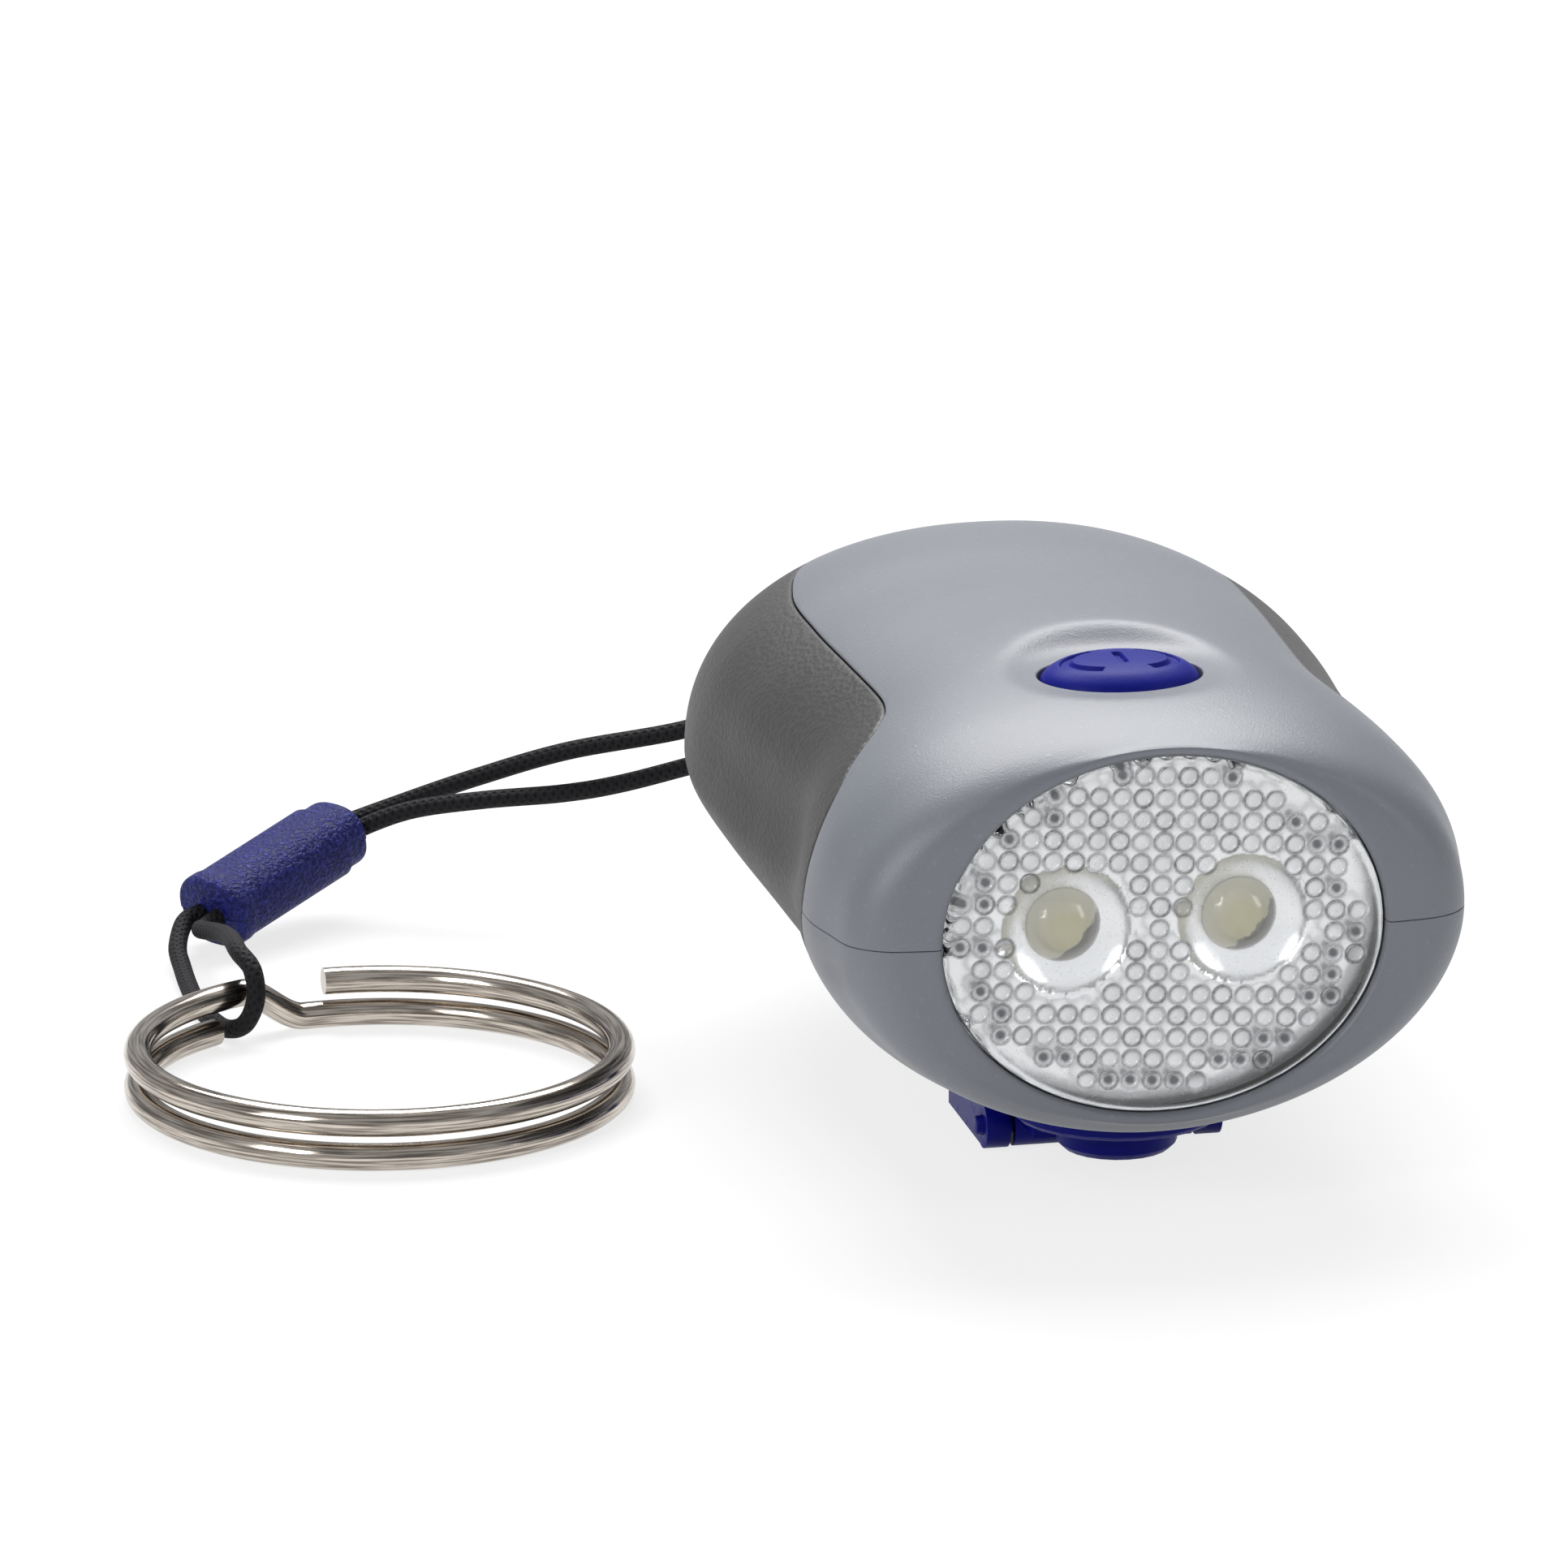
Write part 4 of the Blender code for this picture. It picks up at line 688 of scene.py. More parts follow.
# %% Cut and part the shells
shared = cut_out(skin_points, skin_faces, recess_distance, edge=0.12, deeper=[inward(WALL)])
shared = cut_out(*shared, notch_distance, edge=0.2,
                 deeper=[to_plane(1, NOTCH_FLOOR), to_point(0, NOTCH_FLOOR, AXIS)])
upper = cut_out(*shared, lambda points: points[:, 2] - AXIS - SEAM, edge=0.05, deeper=[inward(WALL)])
upper = cut_out(*upper, hole_distance, edge=0.12, deeper=[to_plane(2, HOLE_FLOOR)])
lower = cut_out(*shared, lambda points: AXIS - SEAM - points[:, 2], edge=0.05, deeper=[inward(WALL)])
lower = cut_out(*lower, well_distance(0, BUTTON_Y, HUB_POCKET), edge=0.2,
                deeper=[to_plane(2, POCKET_TOP), to_point(0, BUTTON_Y, POCKET_TOP)])
for well_x, well_y, well_top in ((12.2, 25, 10.6), (-12.2, 25, 10.6), (12, 44, 13.6), (-12, 44, 13.6)):
    lower = cut_out(*lower, well_distance(well_x, well_y, SCREW_WELL), edge=0.15,
                    deeper=[to_plane(2, well_top), to_point(well_x, well_y, well_top)])
upper_shell = build("shell_top", upper[0][:, :3], upper[1], shell_grey, "torch", upper[0][:, 3:])
lower_shell = build("shell_bottom", lower[0][:, :3], lower[1], shell_grey, "torch", lower[0][:, 3:])
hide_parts("upper_shell")
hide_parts("lower_shell")

# %% [markdown]
# ## Soft grips
# Each grip is a thin rubbery panel with a leather-like grain, set flush in its recess with a
# hairline gap. A shallow finger groove runs along it at mid height. The panel is the same skin,
# pressed in at the groove and kept inside the line instead of outside it.


# %% Grip finish
def grip_finish():
    """Warm dark grey rubber: rounded cells about 0.4 mm across and finer pores, with painted light
    that makes it paler where a cell looks up and towards the top of the panel."""
    made, point = begin("grip_rubber")
    squeezed = point.node("ShaderNodeVectorMath", {"operation": "MULTIPLY"}, {0: point, 1: (1.0, 0.8, 1.0)})
    cell = squeezed.cells(2900)
    pore = point.noise(9000, 2)
    # Painted light: the panel's colour grows paler with height above the floor
    upper = point.parts()[2].step(0.002, 0.022)
    cloud = point.noise(160, 2)
    # Clouds and cells give real tone; the height term adds the painted light
    grain_and_painted_light = (cloud * 0.35 + cell * 0.4 + upper * 0.3).clamped()
    colour = grain_and_painted_light.blend((0.014, 0.0135, 0.014), (0.05, 0.048, 0.048))
    return shade(made, {"Base Color": colour, "Roughness": 0.42 + cell * 0.12 + cloud * 0.06,
                        "Normal": (cell * 0.9 + pore * 0.25).relief(0.00006, 0.7)})


grip_rubber = grip_finish()

# %% Grip panels
GROOVE_HEIGHT = 19.6
GROOVE_SLOPE = 0.05
GROOVE_DEPTH = 0.45
GROOVE_WIDTH = 2.3
PANEL_SPINE = 4.85
PANEL_DROP = 0.02


def grooved(points):
    """Presses the skin in by the groove's depth times a bell curve of the height above its line,
    which fades at both ends."""
    y, z = points[:, 1], points[:, 2]
    bell = np.exp(-((z - GROOVE_HEIGHT - GROOVE_SLOPE * (y - BUTTON_Y)) / GROOVE_WIDTH) ** 2)
    along = np.clip((y - 10) / 7, 0, 1) * np.clip((46 - y) / 14, 0, 1)
    moved = points.copy()
    moved[:, :3] -= points[:, 3:] * (PANEL_DROP + GROOVE_DEPTH * bell * smooth(along))[:, None]
    return moved


for side, name in ((-1, "left_grip"), (1, "right_grip")):
    panel = cut_out(grooved(skin_points), skin_faces,
                    lambda points: np.minimum(-line_distance(points), side * points[:, 0] - PANEL_SPINE),
                    edge=0.22, deeper=[inward(0.55)])
    made = build("panel_" + name, panel[0][:, :3], panel[1], grip_rubber, "torch", panel[0][:, 3:])
    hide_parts(name)

# %% [markdown]
# ## Beaded lens
# The window is clear plastic. Its back carries rows of little round beads, 1.35 mm apart, that
# scatter the light; two round places without beads let the lamps through. The back is a height
# field: the distance from the nearest bead's centre gives a dome. The front is plain, with a
# rounded edge. Both skins make one clear solid, so that light is bent as in the real one.

# %% The bead pattern
WINDOW = np.array([13.58, 11.09])
LAMP_X = 5.43
PITCH = 1.35
COLUMN_LEAN = 0.04
ROW_SLOPE = 0.079
BEADS_END = 0.915
LAMP_CLEAR = 4.1
BEAD = 0.62
DOME = 0.95
FRONT_Y = 0.35
BEND_Y = 0.9
BACK_Y = 2.3


def bead_lattice(x, z):
    """Nearest bead: column and row, its centre, and the distance from it. Rows slope and columns
    lean a little."""
    column = np.round((x - COLUMN_LEAN * z) / PITCH)
    row = np.round((z + ROW_SLOPE * x) / PITCH)
    centre_x = (column + COLUMN_LEAN * row) * PITCH
    centre_z = (row - ROW_SLOPE * column) * PITCH
    return column, row, centre_x, centre_z, np.hypot(x - centre_x, z - centre_z)


def lamp_distance(x, z):
    """Distance from the middle of the nearer lamp, in front view."""
    return np.minimum(np.hypot(x - LAMP_X, z), np.hypot(x + LAMP_X, z))


def window_share(x, z):
    """Distance from the middle as a share of the way to the window's rim."""
    return np.hypot(x / WINDOW[0], z / WINDOW[1])


def has_bead(centre_x, centre_z):
    """Whether a place of the pattern holds a bead: not near the rim, nor in front of a lamp."""
    return ((window_share(centre_x, centre_z) < BEADS_END)
            & (lamp_distance(centre_x, centre_z) > LAMP_CLEAR))


def bead_height(x, z):
    """Dome height root(R^2 - r^2) - root(R^2 - b^2) at distance r from the centre of a bead of
    radius b, and 0 where there is no bead."""
    _, _, centre_x, centre_z, r = bead_lattice(x, z)
    dome = np.sqrt(DOME ** 2 - np.minimum(r, BEAD) ** 2) - math.sqrt(DOME ** 2 - BEAD ** 2)
    return np.where(has_bead(centre_x, centre_z), np.clip(dome, 0, None), 0)


# %% The window's two skins and its wall
SPOKES = 120
BEND = 0.955
WINDOW_GRID = (13.7, 11.2, 0.105)


def lens_front():
    """The front skin: y goes from the front's to the bend's in a quarter round near the rim."""
    bent = BEND + (1 - BEND) * np.sin(np.radians(np.arange(1, 9) * 11.25))
    s = np.concatenate([np.linspace(0, BEND, 16), bent])
    a = np.arange(SPOKES) / SPOKES * 2 * math.pi
    rim = np.clip((s - BEND) / (1 - BEND), 0, 1)
    y = FRONT_Y + (BEND_Y - FRONT_Y) * (1 - np.sqrt(np.clip(1 - rim ** 2, 0, 1)))
    front = np.stack([np.outer(s, np.cos(a)) * WINDOW[0], np.outer(y, np.ones(SPOKES)),
                      AXIS + np.outer(s, np.sin(a)) * WINDOW[1]], -1).reshape(-1, 3)
    return front, grid_faces(len(s), SPOKES, wrap=True)


def flat_field(width, height, cell, depth):
    """Points and triangles of a grid of square cells in front view, from -width to width and from
    -height to height, whose y is depth(x, z)."""
    x, z = np.meshgrid(np.arange(-width, width + 0.01, cell), np.arange(-height, height + 0.01, cell),
                       indexing="ij")
    return np.stack([x, depth(x, z), AXIS + z], -1).reshape(-1, 3), halved(grid_faces(*x.shape))


front, front_faces = lens_front()
back, back_faces = flat_field(*WINDOW_GRID, lambda x, z: BACK_Y + bead_height(x, z))
back, back_faces, border = trimmed(back, back_faces, 1 - window_share(back[:, 0], back[:, 2] - AXIS))
rim, pairs = border_of(border)
bend = back[rim] * (1, 0, 1) + (0, BEND_Y, 0)
bend_start = len(front) + len(back)
walls = np.stack([rim[pairs[:, 0]] + len(front), rim[pairs[:, 1]] + len(front),
                  pairs[:, 1] + bend_start, pairs[:, 0] + bend_start], -1)
lens_faces = front_faces.tolist() + (back_faces + len(front)).tolist() + walls.tolist()
print("beaded back:", len(back_faces), "triangles")


# %% Clear and two-tone finishes
def lens_finish():
    """Clear plastic: light passes with a faint tint, and tiny scuffs vary the roughness. The
    mesh's own rim attribute mixes painted shade, near black, into the tint round and over the beads."""
    made, point = begin("lens_clear")
    scuff = point.noise(1500, 4).step(0.5, 0.8)
    tint = point.noise(200, 2).blend((0.98, 0.985, 0.99), (0.9506, 0.95545, 0.9603))
    # The rim attribute holds painted shade round and over the beads
    rim = point.node("ShaderNodeAttribute", {"attribute_name": "rim"}, out=2)
    return shade(made, {"Base Color": rim.blend(tint, (0.012, 0.013, 0.017)),
                        "Roughness": 0.02 + scuff * 0.04, "Transmission Weight": 1.0, "IOR": 1.49})


def plain_finish(name, dark, bright, roughness, metallic=0.0, scale=900, depth=0.00002):
    """A two-tone noise of the given size in colour, roughness and relief."""
    made, point = begin(name)
    lump = point.noise(scale, 3)
    fine = point.noise(scale * 7, 2)
    return shade(made, {"Base Color": (lump * 0.6 + fine * 0.4).blend(dark, bright), "Metallic": metallic,
                        "Roughness": roughness + lump * 0.1, "Normal": fine.relief(depth, 0.5)})


lens_clear = lens_finish()


# %% The window, the painted shade on its beads, and its frosted edge
def bead_painted_shade(x, y, z):
    """Painted shade: 1 on the circle where a bead meets the back, a quarter over the upper half of a
    bead, and 1 in the middle of some beads near the window's rim, which look into the dark."""
    column, row, centre_x, centre_z, r = bead_lattice(x, z)
    ring = np.clip(1.6 - np.abs(r - 0.575) / 0.085, 0, 1) * (0.85 + 0.15 * np.sin(2.4 * column + 1.7 * row))
    above = np.clip(0.5 + (z - centre_z + 0.4 * (x - centre_x)) / 0.9, 0, 1)
    above = above * (r < BEAD) * np.clip(r / 0.3, 0, 1)
    dark = (window_share(centre_x, centre_z) > 0.8) & (np.sin(7.1 * column + 3.3 * row) > -0.2)
    dark = dark * np.clip(2.0 - r / 0.25, 0, 1)
    shown = has_bead(centre_x, centre_z) & (y > BACK_Y - 0.1)
    return np.where(shown, np.maximum.reduce([ring, 0.26 * above, dark]), 0)


def read_rows(items, field):
    """One field of all points or faces of a mesh, as rows of three numbers."""
    flat = np.zeros(len(items) * 3)
    items.foreach_get(field, flat)
    return flat.reshape(-1, 3)


lens = build("beaded_lens", np.vstack([front, back, bend]), lens_faces, lens_clear, "torch", sharp=40)
spots = read_rows(lens.data.vertices, "co") / MM + MIDDLE
painted_bead_shade = bead_painted_shade(spots[:, 0], spots[:, 1], spots[:, 2] - AXIS)
# The painted shade of the beads is stored as the lens's rim attribute
lens.data.attributes.new("rim", "FLOAT", "POINT").data.foreach_set("value", painted_bead_shade)
lens.data.materials.append(plain_finish("frosted_edge", (0.78, 0.79, 0.81), (0.92, 0.93, 0.94), 0.3))
middles = read_rows(lens.data.polygons, "center") / MM + MIDDLE
at_rim = window_share(middles[:, 0], middles[:, 2] - AXIS) > 0.985
sideways = np.abs(read_rows(lens.data.polygons, "normal")[:, 1]) < 0.5
lens.data.polygons.foreach_set("material_index", (at_rim & sideways).astype(np.int32))
print("frosted faces:", int((at_rim & sideways).sum()))
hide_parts("lens")

# %% [markdown]
# ## Reflector and lamps
# Behind the window is a bright metallised plate with a bowl round each lamp. It is a height field
# too: each bowl falls away as 1.5 (1 - (r/4)^2)^0.6. The lamps are round-nosed and look pale
# yellow, because their phosphor shows through the clear resin.


# %% Reflector plate
PLATE = (13.75, 11.25)
PLATE_GRID = (14.1, 11.7, 0.2)
PLATE_Y = 3.3
BOWL_RADIUS = 4.0
BOWL_DEPTH = 1.5


def silver_finish():
    """Vacuum-metallised plastic: bright, with faint waviness and dull specks."""
    made, point = begin("metallised_silver")
    wave = point.noise(450, 2)
    speck = point.noise(5200, 2).step(0.6, 0.8)
    colour = (speck * 0.4 + wave * 0.3).clamped().blend((0.98, 0.985, 0.99), (0.9, 0.905, 0.91))
    return shade(made, {"Base Color": colour, "Metallic": 0.75, "Roughness": 0.26 + speck * 0.1,
                        "Normal": wave.relief(0.00012, 0.6)})


def plate_depth(x, z):
    """The plate's y plus the bowl's depth times (1 - (r/R)^2)^0.6."""
    r = lamp_distance(x, z)
    return PLATE_Y + BOWL_DEPTH * np.clip(1 - (r / BOWL_RADIUS) ** 2, 0, 1) ** 0.6


plate, plate_faces = flat_field(*PLATE_GRID, plate_depth)
reach = np.hypot(plate[:, 0] / PLATE[0], (plate[:, 2] - AXIS) / PLATE[1])
plate, plate_faces, _ = trimmed(plate, plate_faces, 1 - reach)
silver = silver_finish()
reflector = build("reflector_plate", plate, plate_faces, silver, "torch", plate * 0 + (0, -1, 0))
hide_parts("reflector")


# %% Lamps
def lamp_finish():
    """Clear resin over yellow phosphor: greenish yellow in the middle, paler towards the sides, a
    grey cup low on one side, and painted shade as a dark outer rim where the dome's side turns away."""
    made, point = begin("lamp_resin")
    across, _, height = point.parts()
    off_x = across - across.maths("SIGN", across) * (LAMP_X * MM)
    off_z = height - AXIS * MM
    radius = (off_x * off_x + off_z * off_z) ** 0.5
    mottle = point.noise(1300, 3)
    colour = (1 - radius.step(0.0004, 0.0022) + mottle * 0.3).clamped()
    colour = colour.blend((0.7, 0.67, 0.55), (0.6, 0.56, 0.34))
    cup = (off_x * 0.8 - off_z * 0.75 + (mottle - 0.5) * 0.0012).step(0.00085, 0.0011)
    colour = (cup * 0.85).blend(colour, (0.16, 0.155, 0.15))
    # Painted shade: a dark ring where the dome's side turns away
    colour = radius.step(0.00222, 0.00242).blend(colour, (0.02, 0.02, 0.022))
    return shade(made, {"Base Color": colour, "Roughness": 0.12 + mottle * 0.08, "Coat Weight": 0.6,
                        "Coat Roughness": 0.03, "IOR": 1.5})


def lathe(profile, centre, around):
    """Turns a profile of (radius, y) about a line along Y: x = radius cos a, z = radius sin a."""
    a = np.arange(around) / around * 2 * math.pi
    flat = profile[:, :1]
    points = np.stack([flat * np.cos(a), profile[:, 1:] + 0 * a, flat * np.sin(a)], -1)
    return points.reshape(-1, 3) + centre, grid_faces(len(profile), around, wrap=True)


lamp_resin = lamp_finish()
nose = open_line([(0, 3.05), (0.7, 3.13), (1.35, 3.4), (1.98, 3.92), (2.36, 4.6), (2.5, 5.4),
                  (2.5, 9.6)], 6)
nose[:, 0] = np.clip(nose[:, 0], 0, None)
for side, name in ((-1, "led_left"), (1, "led_right")):
    points, faces = lathe(nose, (side * LAMP_X, 0, AXIS), 48)
    made = build("lamp_" + name, points, faces, lamp_resin, "torch", points * 0 + (0, -1, 0))
    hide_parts(name)

# %% [markdown]
# ## Rubber button
# The button is an oval blue dome with a generic power mark pressed into it: a short line between
# two arcs. The dome is a grid of rings and spokes, and the mark lowers it by a smooth step of the
# distance to the line and the arcs.


# %% Button
BUTTON_SPOKES = 192
MARK_ROWS = 64
MARKED = 4.0
BUTTON_OVAL = 3.9 / 4.95
MARK_DEPTH = 0.26
MARK_EDGE = 0.09
HALF_STROKE = 0.24
HALF_LINE = 0.95
ARC_X = 3.35
ARC_Y = 2.15
ARC_MEAN = 2.4
ARC_OPENING = math.radians(38)


def rubber_finish():
    """Matte royal blue rubber with a satin bloom and very fine texture."""
    made, point = begin("button_rubber")
    fine = point.noise(8000, 2)
    bloom = point.noise(500, 3)
    colour = (bloom * 0.6 + fine * 0.4).blend((0.0025, 0.005, 0.15), (0.005, 0.009, 0.235))
    return shade(made, {"Base Color": colour, "Roughness": 0.42 + fine * 0.14,
                        "Specular IOR Level": 0.12, "Normal": fine.relief(0.00002, 0.6)})


def button_points():
    """Rings of radius r and spokes a: (r cos a, oval r sin a, height(r) - depth mark)."""
    outer = open_line([(0, 31.9), (1.8, 31.85), (3.3, 31.65), (4.2, 31.28), (4.75, 30.78), (4.95, 30.1),
                       (4.95, 28.9)], 16)
    rest = outer[outer[:, 0] >= MARKED]
    inner_r = np.linspace(0, MARKED, MARK_ROWS, endpoint=False)
    r = np.concatenate([inner_r, rest[:, 0]])
    height = np.concatenate([np.interp(inner_r, outer[:70, 0], outer[:70, 1]), rest[:, 1]])
    a = np.arange(BUTTON_SPOKES) / BUTTON_SPOKES * 2 * math.pi
    x = np.outer(r, np.cos(a))
    y = np.outer(r, np.sin(a)) * BUTTON_OVAL
    line = np.hypot(x, np.clip(np.abs(y) - HALF_LINE, 0, None)) - HALF_STROKE
    ring = np.abs(np.hypot(x / ARC_X, y / ARC_Y) - 1) * ARC_MEAN - HALF_STROKE
    from_line = np.abs(np.arctan2(np.abs(x), np.abs(y)))
    arcs = np.where(from_line > ARC_OPENING, ring, 1.0)
    mark = smooth(1 - np.clip((np.minimum(line, arcs) + MARK_EDGE) / (2 * MARK_EDGE), 0, 1))
    return np.stack([x, BUTTON_Y + y, height[:, None] - MARK_DEPTH * mark], -1)


grid = button_points()
points = grid.reshape(-1, 3)
button_rubber = rubber_finish()
button = build("rubber_button", points, grid_faces(len(grid), BUTTON_SPOKES, wrap=True),
               button_rubber, "button", points * 0 + (0, 0, 1), sharp=70)
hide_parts("switch_button")

# %% [markdown]
# ## Blue crank
# Hub, folding arm and knob are injection moulded in deep blue. Their solids already have the
# right shape, so a merged copy of each gets small rounded edges from a Bevel modifier.


# %% Crank finish and rounded copies
def crank_finish():
    """Semi-gloss moulded blue with faint flow clouds, fine texture and scuffs that catch light."""
    made, point = begin("crank_blue")
    fine = point.noise(6000, 2)
    cloud = point.noise(300, 2)
    scuff = point.noise(1400, 4).step(0.58, 0.72)
    clean = (cloud * 0.7 + fine * 0.3).blend((0.001, 0.0025, 0.12), (0.0025, 0.005, 0.215))
    return shade(made, {"Base Color": (scuff * 0.3).blend(clean, (0.012, 0.02, 0.19)),
                        "Roughness": 0.38 + fine * 0.12 + scuff * 0.1, "Specular IOR Level": 0.12,
                        "Normal": (fine + scuff * 0.5).relief(0.00002, 0.6)})


def rounded_copy(name, node, finish, body, width):
    """A copy of a solid's mesh, merged and cleaned of flat edges, with bevelled corners."""
    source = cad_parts[node]
    data = source.data.copy()
    data.name = name
    data.transform(source.matrix_world)
    work = bmesh.new()
    work.from_mesh(data)
    bmesh.ops.remove_doubles(work, verts=work.verts, dist=MERGE)
    bmesh.ops.dissolve_limit(work, angle_limit=math.radians(1), verts=work.verts, edges=work.edges)
    work.to_mesh(data)
    work.free()
    data.materials.clear()
    data.materials.append(finish)
    data.polygons.foreach_set("material_index", [0] * len(data.polygons))
    data.polygons.foreach_set("use_smooth", [True] * len(data.polygons))
    made = new_object(name, data)
    bevel = made.modifiers.new("Edges", "BEVEL")
    bevel.width = width * MM
    bevel.segments = 3
    bevel.limit_method = "ANGLE"
    bevel.angle_limit = math.radians(40)
    bevel.harden_normals = True
    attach(made, body)
    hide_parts(node)
    return made


crank_blue = crank_finish()
for name, node, body, width in (
        ("hub", "crank_hub", "crank_hub", 0.18), ("arm", "crank_arm", "crank_arm", 0.3),
        ("knob", "crank_knob", "crank_knob", 0.25), ("hinge", "hinge_pin", "crank_hub", 0.12)):
    made = rounded_copy("crank_" + name + "_moulding", node, crank_blue, body, width)
    print(made.name, "faces:", len(made.data.polygons))

# %% [markdown]
# ## Split ring
# The ring is one steel wire, 1.7 mm thick, wound nearly twice round and plated with nickel. The
# upper turn steps down to the lower one over a short stretch. The wire's line is computed from
# its turn angle: the radius stays, and the height falls by a smooth step.


# %% Ring
RING_X = -41.35
RING_Y = 34.4
RING_RADIUS = 14.95
WIRE_RADIUS = 0.85
LOWER_TURN = 0.87
TURN_RISE = 2.14
STEP_START = 338.5
STEP_RUN = 16.5
FIRST_ANGLE = 93


def nickel_finish():
    """Warm bright nickel, drawn lengthways: the roughness and colour vary along the wire's own UV
    map, and the dark lengthways bands of the colour are painted reflection."""
    made, uv = begin("ring_nickel", "UV")
    turns, length, _ = uv.parts()
    drawn = uv.node("ShaderNodeCombineXYZ", {}, {0: turns * 40.0, 1: length * 2.0})
    drawn_streak_and_painted_reflection = drawn.noise(1.0, 3)
    smudge = uv.node("ShaderNodeTexCoord", out="Object").noise(350, 3)
    # Painted reflection: dark brownish bands along the wire where the streaks fall
    colour = (drawn_streak_and_painted_reflection.step(0.36, 0.62) * 0.7 + smudge * 0.3).blend((0.13, 0.108, 0.09), (0.74, 0.67, 0.59))
    return shade(made, {"Base Color": colour, "Metallic": 1.0,
                        "Roughness": 0.08 + drawn_streak_and_painted_reflection * 0.08 + smudge * 0.06,
                        "Normal": drawn_streak_and_painted_reflection.relief(0.00001, 0.4)})


turn = np.concatenate([np.linspace(0, 336, 113), np.linspace(338, 356, 25), np.linspace(358.5, 690, 111)])
height = LOWER_TURN + TURN_RISE * (1 - smooth(np.clip((turn - STEP_START) / STEP_RUN, 0, 1)))
angle = np.radians(FIRST_ANGLE - turn)
wire_line = np.stack([RING_X + RING_RADIUS * np.cos(angle), RING_Y + RING_RADIUS * np.sin(angle),
                      height], -1)
ring_nickel = nickel_finish()
ring, ring_length = tube("split_ring", wire_line, WIRE_RADIUS, ring_nickel, "torch", around=24)
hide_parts("key_ring")
print("ring wire:", round(ring_length, 1), "mm")

# %% [markdown]
# ## Cord lock
# The lock is two blue moulded halves, clipped together round the cord. Each half is a loft of
# half superellipses whose size swells quickly at the mouth, bulges a little there, stays even,
# steps in to a narrower collar near the rear and closes.


# %% Lock finish
def lock_finish():
    """Blue moulding with a coarse spark texture: painted light makes the raised grains paler and
    painted shade makes the hollows darker."""
    made, point = begin("lock_blue")
    grain = point.noise(3600, 3).step(0.36, 0.72)
    cloud = point.noise(260, 2)
    # Painted light and shade: the colour is paler on raised grains and darker in the hollows
    colour = (grain * 0.75 + cloud * 0.25).blend((0.0015, 0.003, 0.055), (0.016, 0.022, 0.2))
    return shade(made, {"Base Color": colour, "Roughness": 0.52 - grain * 0.1,
                        "Specular IOR Level": 0.2, "Normal": grain.relief(0.00014, 0.7)})


lock_blue = lock_finish()

# %% Lock halves
LOCK_WIDE = 2.75
LOCK_HIGH = 2.35
LOCK_POWER = 0.78
PARTING = 0.03
END_RUN = 0.6
COLLAR_RUN = 1.9
BULGE_RUN = 1.7
END_CURVE = 0.5 * (1 - np.cos(np.linspace(0, math.pi / 2, 8)))


def lock_half(name, sign, share):
    """Section at s: w = W g(s) |cos a|^p, h = H g(s) |sin a|^p, where g rises over a short run at
    each end, is 4 % more at the mouth and 9 % less in the collar; a flat side closes it."""
    s = np.concatenate([END_CURVE, np.linspace(0.7, LOCK_RUN - 0.7, 64), LOCK_RUN - END_CURVE[::-1]])
    near = np.clip(np.minimum(s, LOCK_RUN - s) / END_RUN, 0, 1)
    collar = 0.09 * np.clip((s - LOCK_RUN + COLLAR_RUN) / 0.2, 0, 1)
    bulge = 0.04 * np.clip((BULGE_RUN - s) / 0.5, 0, 1)
    grow = share * (1 - collar + bulge) * (0.86 + 0.14 * np.sqrt(1 - (1 - near) ** 2))
    a = np.linspace(0, math.pi, 33)
    w = np.outer(grow, LOCK_WIDE * np.sign(np.cos(a)) * np.abs(np.cos(a)) ** LOCK_POWER)
    h = np.outer(grow, LOCK_HIGH * np.abs(np.sin(a)) ** LOCK_POWER)
    flat_w = np.outer(grow, np.linspace(-LOCK_WIDE, LOCK_WIDE, 9)[1:-1])
    section_w = np.concatenate([w, flat_w], 1)[..., None]
    section_h = np.concatenate([np.maximum(h, PARTING), flat_w * 0 + PARTING], 1)[..., None] * sign
    points = LOCK_MOUTH + lock_along * s[:, None, None] + lock_across * section_w + lock_up * section_h
    rows, columns = points.shape[:2]
    ring = np.arange(columns)
    end = (rows - 1) * columns + ring
    everything = np.vstack([points.reshape(-1, 3), points[0].mean(0), points[-1].mean(0)])
    faces = np.vstack([fan(rows * columns, ring[::-1]), fan(rows * columns + 1, end)]).tolist()
    faces = grid_faces(rows, columns, wrap=True).tolist() + faces
    return build(name, everything, faces, lock_blue, "torch", sharp=40)


lock_top = lock_half("lock_half_top", 1, 1.0)
lock_base = lock_half("lock_half_base", -1, 0.96)
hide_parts("lock_upper")
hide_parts("lock_lower")

# %% [markdown]
# ## Works inside
# Gears, axles, generator, boards, cell and screws are already modelled as solids. Each gets the
# finish of its real material, chosen by the slot that its solid was painted with.

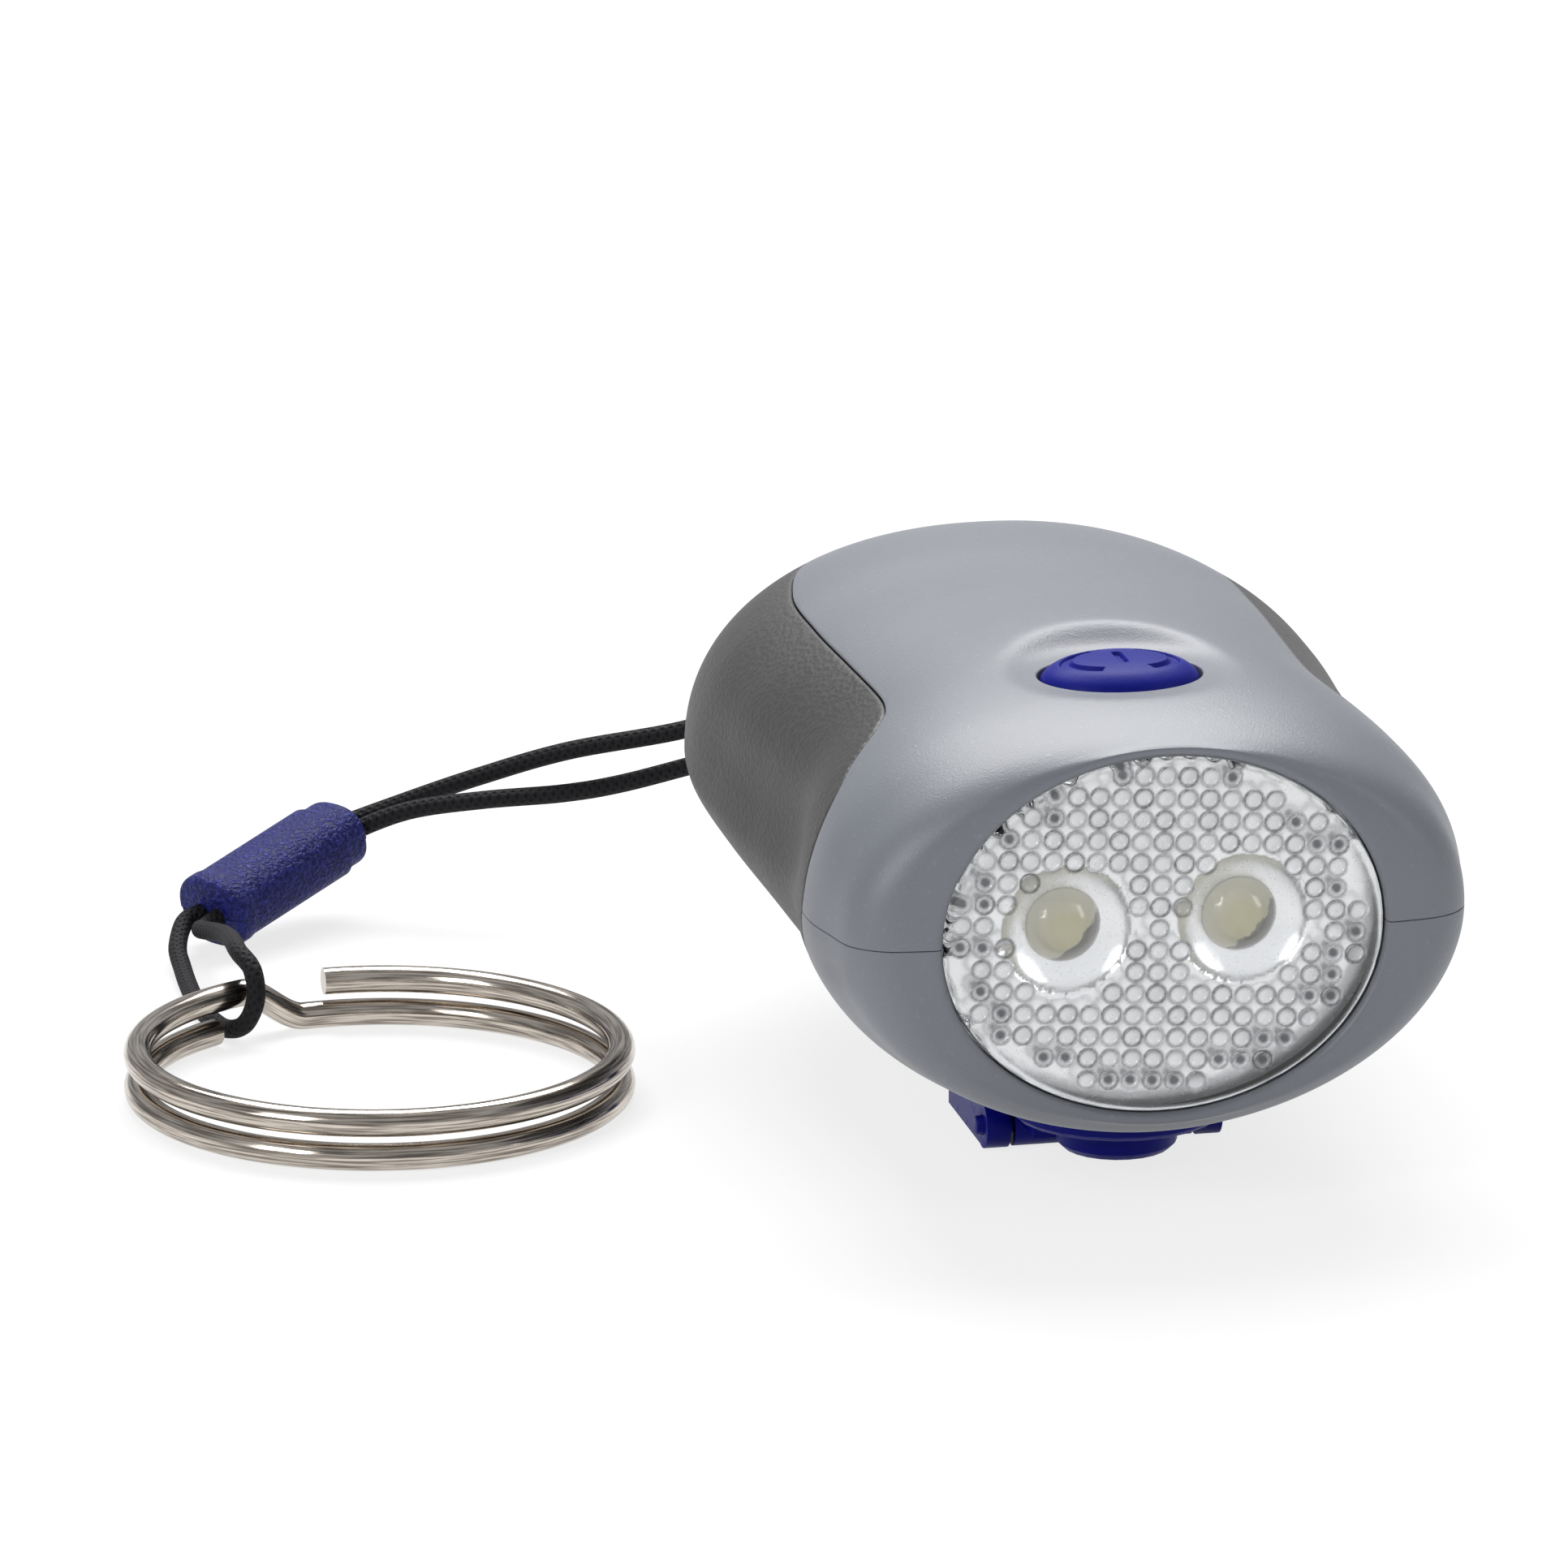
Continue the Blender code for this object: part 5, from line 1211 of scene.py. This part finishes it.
# %% Finishes of the inner pieces: slot, material, dark and bright colour, roughness and the rest
INNER = (
    ("led_clear", "resin", (0.6, 0.6, 0.5), (0.7, 0.7, 0.6), 0.1),
    ("board_green", "board_green", (0.01, 0.09, 0.03), (0.03, 0.16, 0.06), 0.35),
    ("switch_black", "switch_black", (0.01, 0.01, 0.01), (0.03, 0.03, 0.03), 0.35),
    ("cell_steel", "cell_steel", (0.5, 0.5, 0.48), (0.66, 0.66, 0.64), 0.22, 1.0),
    ("holder_black", "holder_black", (0.015, 0.015, 0.015), (0.04, 0.04, 0.04), 0.45),
    ("steel", "zinc_steel", (0.42, 0.42, 0.43), (0.62, 0.62, 0.62), 0.28, 1.0, 2500),
    ("gear_white", "gear_nylon", (0.62, 0.6, 0.54), (0.78, 0.77, 0.72), 0.38),
    ("magnet_dark", "magnet_ferrite", (0.03, 0.03, 0.035), (0.09, 0.09, 0.1), 0.5, 0.2),
    ("coil_copper", "coil_copper", (0.4, 0.14, 0.06), (0.62, 0.26, 0.12), 0.3, 1.0, 3500, 0.00006),
    ("bush_brass", "bush_brass", (0.5, 0.33, 0.11), (0.68, 0.48, 0.2), 0.25, 1.0),
)
finishes = {slot: plain_finish(*recipe) for slot, *recipe in INNER}
finishes |= {
    "crank_blue": crank_blue, "lens_clear": lens_clear, "reflector_silver": silver,
    "shell_grey": shell_grey, "grip_dark": grip_rubber, "button_blue": button_rubber,
    "ring_nickel": ring_nickel, "cord_black": braid, "lock_blue": lock_blue,
}
for node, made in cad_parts.items():
    for place in made.material_slots:
        slot = place.material.name.split(".")[0] if place.material else ""
        if slot in finishes:
            place.material = finishes[slot]
        else:
            print("no finish for", node, slot)
print("finishes:", len(finishes))

# %% [markdown]
# ## Floor and light
# The photograph stands on pure white. The floor is pale, and the camera sees it nearly white
# where nothing shades it, so the soft shadow stays. Three soft lamps and a dim even surrounding
# light the body from above and from both sides.


# %% Floor
def seen_rays(root):
    """Three wires that are 1 for camera rays, for mirrored rays and for rays through clear stuff."""
    path = root.node("ShaderNodeLightPath").socket.node
    return [Wire(root.tree, path.outputs[name])
            for name in ("Is Camera Ray", "Is Glossy Ray", "Is Transmission Ray")]


floor_white = bpy.data.materials.new("floor_white")
floor_white.use_nodes = True
root = Wire(floor_white.node_tree)
by_camera, by_gloss, by_clear = seen_rays(root)
direct = (by_camera + by_gloss + by_clear).clamped()
glow = root.node("ShaderNodeEmission", {}, {0: (1, 1, 1, 1), 1: 1.0})
shade(floor_white, {"Base Color": (0.86, 0.86, 0.87, 1), "Roughness": 0.9, "Specular IOR Level": 0.1})
shader = floor_white.node_tree.nodes["Principled BSDF"]
diffuse = Wire(root.tree, shader.outputs[0])
mixed = root.node("ShaderNodeMixShader", {}, {0: direct * 0.78, 1: diffuse, 2: glow})
floor_white.node_tree.links.new(mixed.socket, floor_white.node_tree.nodes["Material Output"].inputs[0])
floor_data = bpy.data.meshes.new("floor")
floor_data.from_pydata([(-2, -2, 0), (2, -2, 0), (2, 4, 0), (-2, 4, 0)], [], [(0, 1, 2, 3)])
floor_data.materials.append(floor_white)
floor = new_object("floor", floor_data)

# %% World and lamps
world = bpy.data.worlds.new("studio")
bpy.context.scene.world = world
world.use_nodes = True
by_camera, by_gloss, by_clear = seen_rays(Wire(world.node_tree))
back_node = world.node_tree.nodes["Background"]
back_node.inputs["Color"].default_value = (0.97, 0.98, 1.0, 1)
strength = (by_camera + by_gloss * 0.25 + by_clear * 0.75).clamped() * 0.74 + 0.26
world.node_tree.links.new(strength.socket, back_node.inputs["Strength"])


def softbox(name, place, size, power):
    """A rectangular area lamp that faces the middle of the torch."""
    data = bpy.data.lights.new(name, "AREA")
    data.shape = "RECTANGLE"
    data.size, data.size_y = size
    data.energy = power
    lamp = new_object(name, data)
    lamp.location = place
    lamp.rotation_euler = (Vector(place) - Vector((0, 0, 0.02))).to_track_quat("Z", "Y").to_euler()


softbox("key_above", (0.04, 0.3, 0.48), (0.5, 0.3), 5.0)
softbox("fill_left", (-0.42, -0.25, 0.26), (0.2, 0.24), 1.25)
softbox("fill_right", (0.45, -0.3, 0.25), (0.16, 0.3), 0.55)
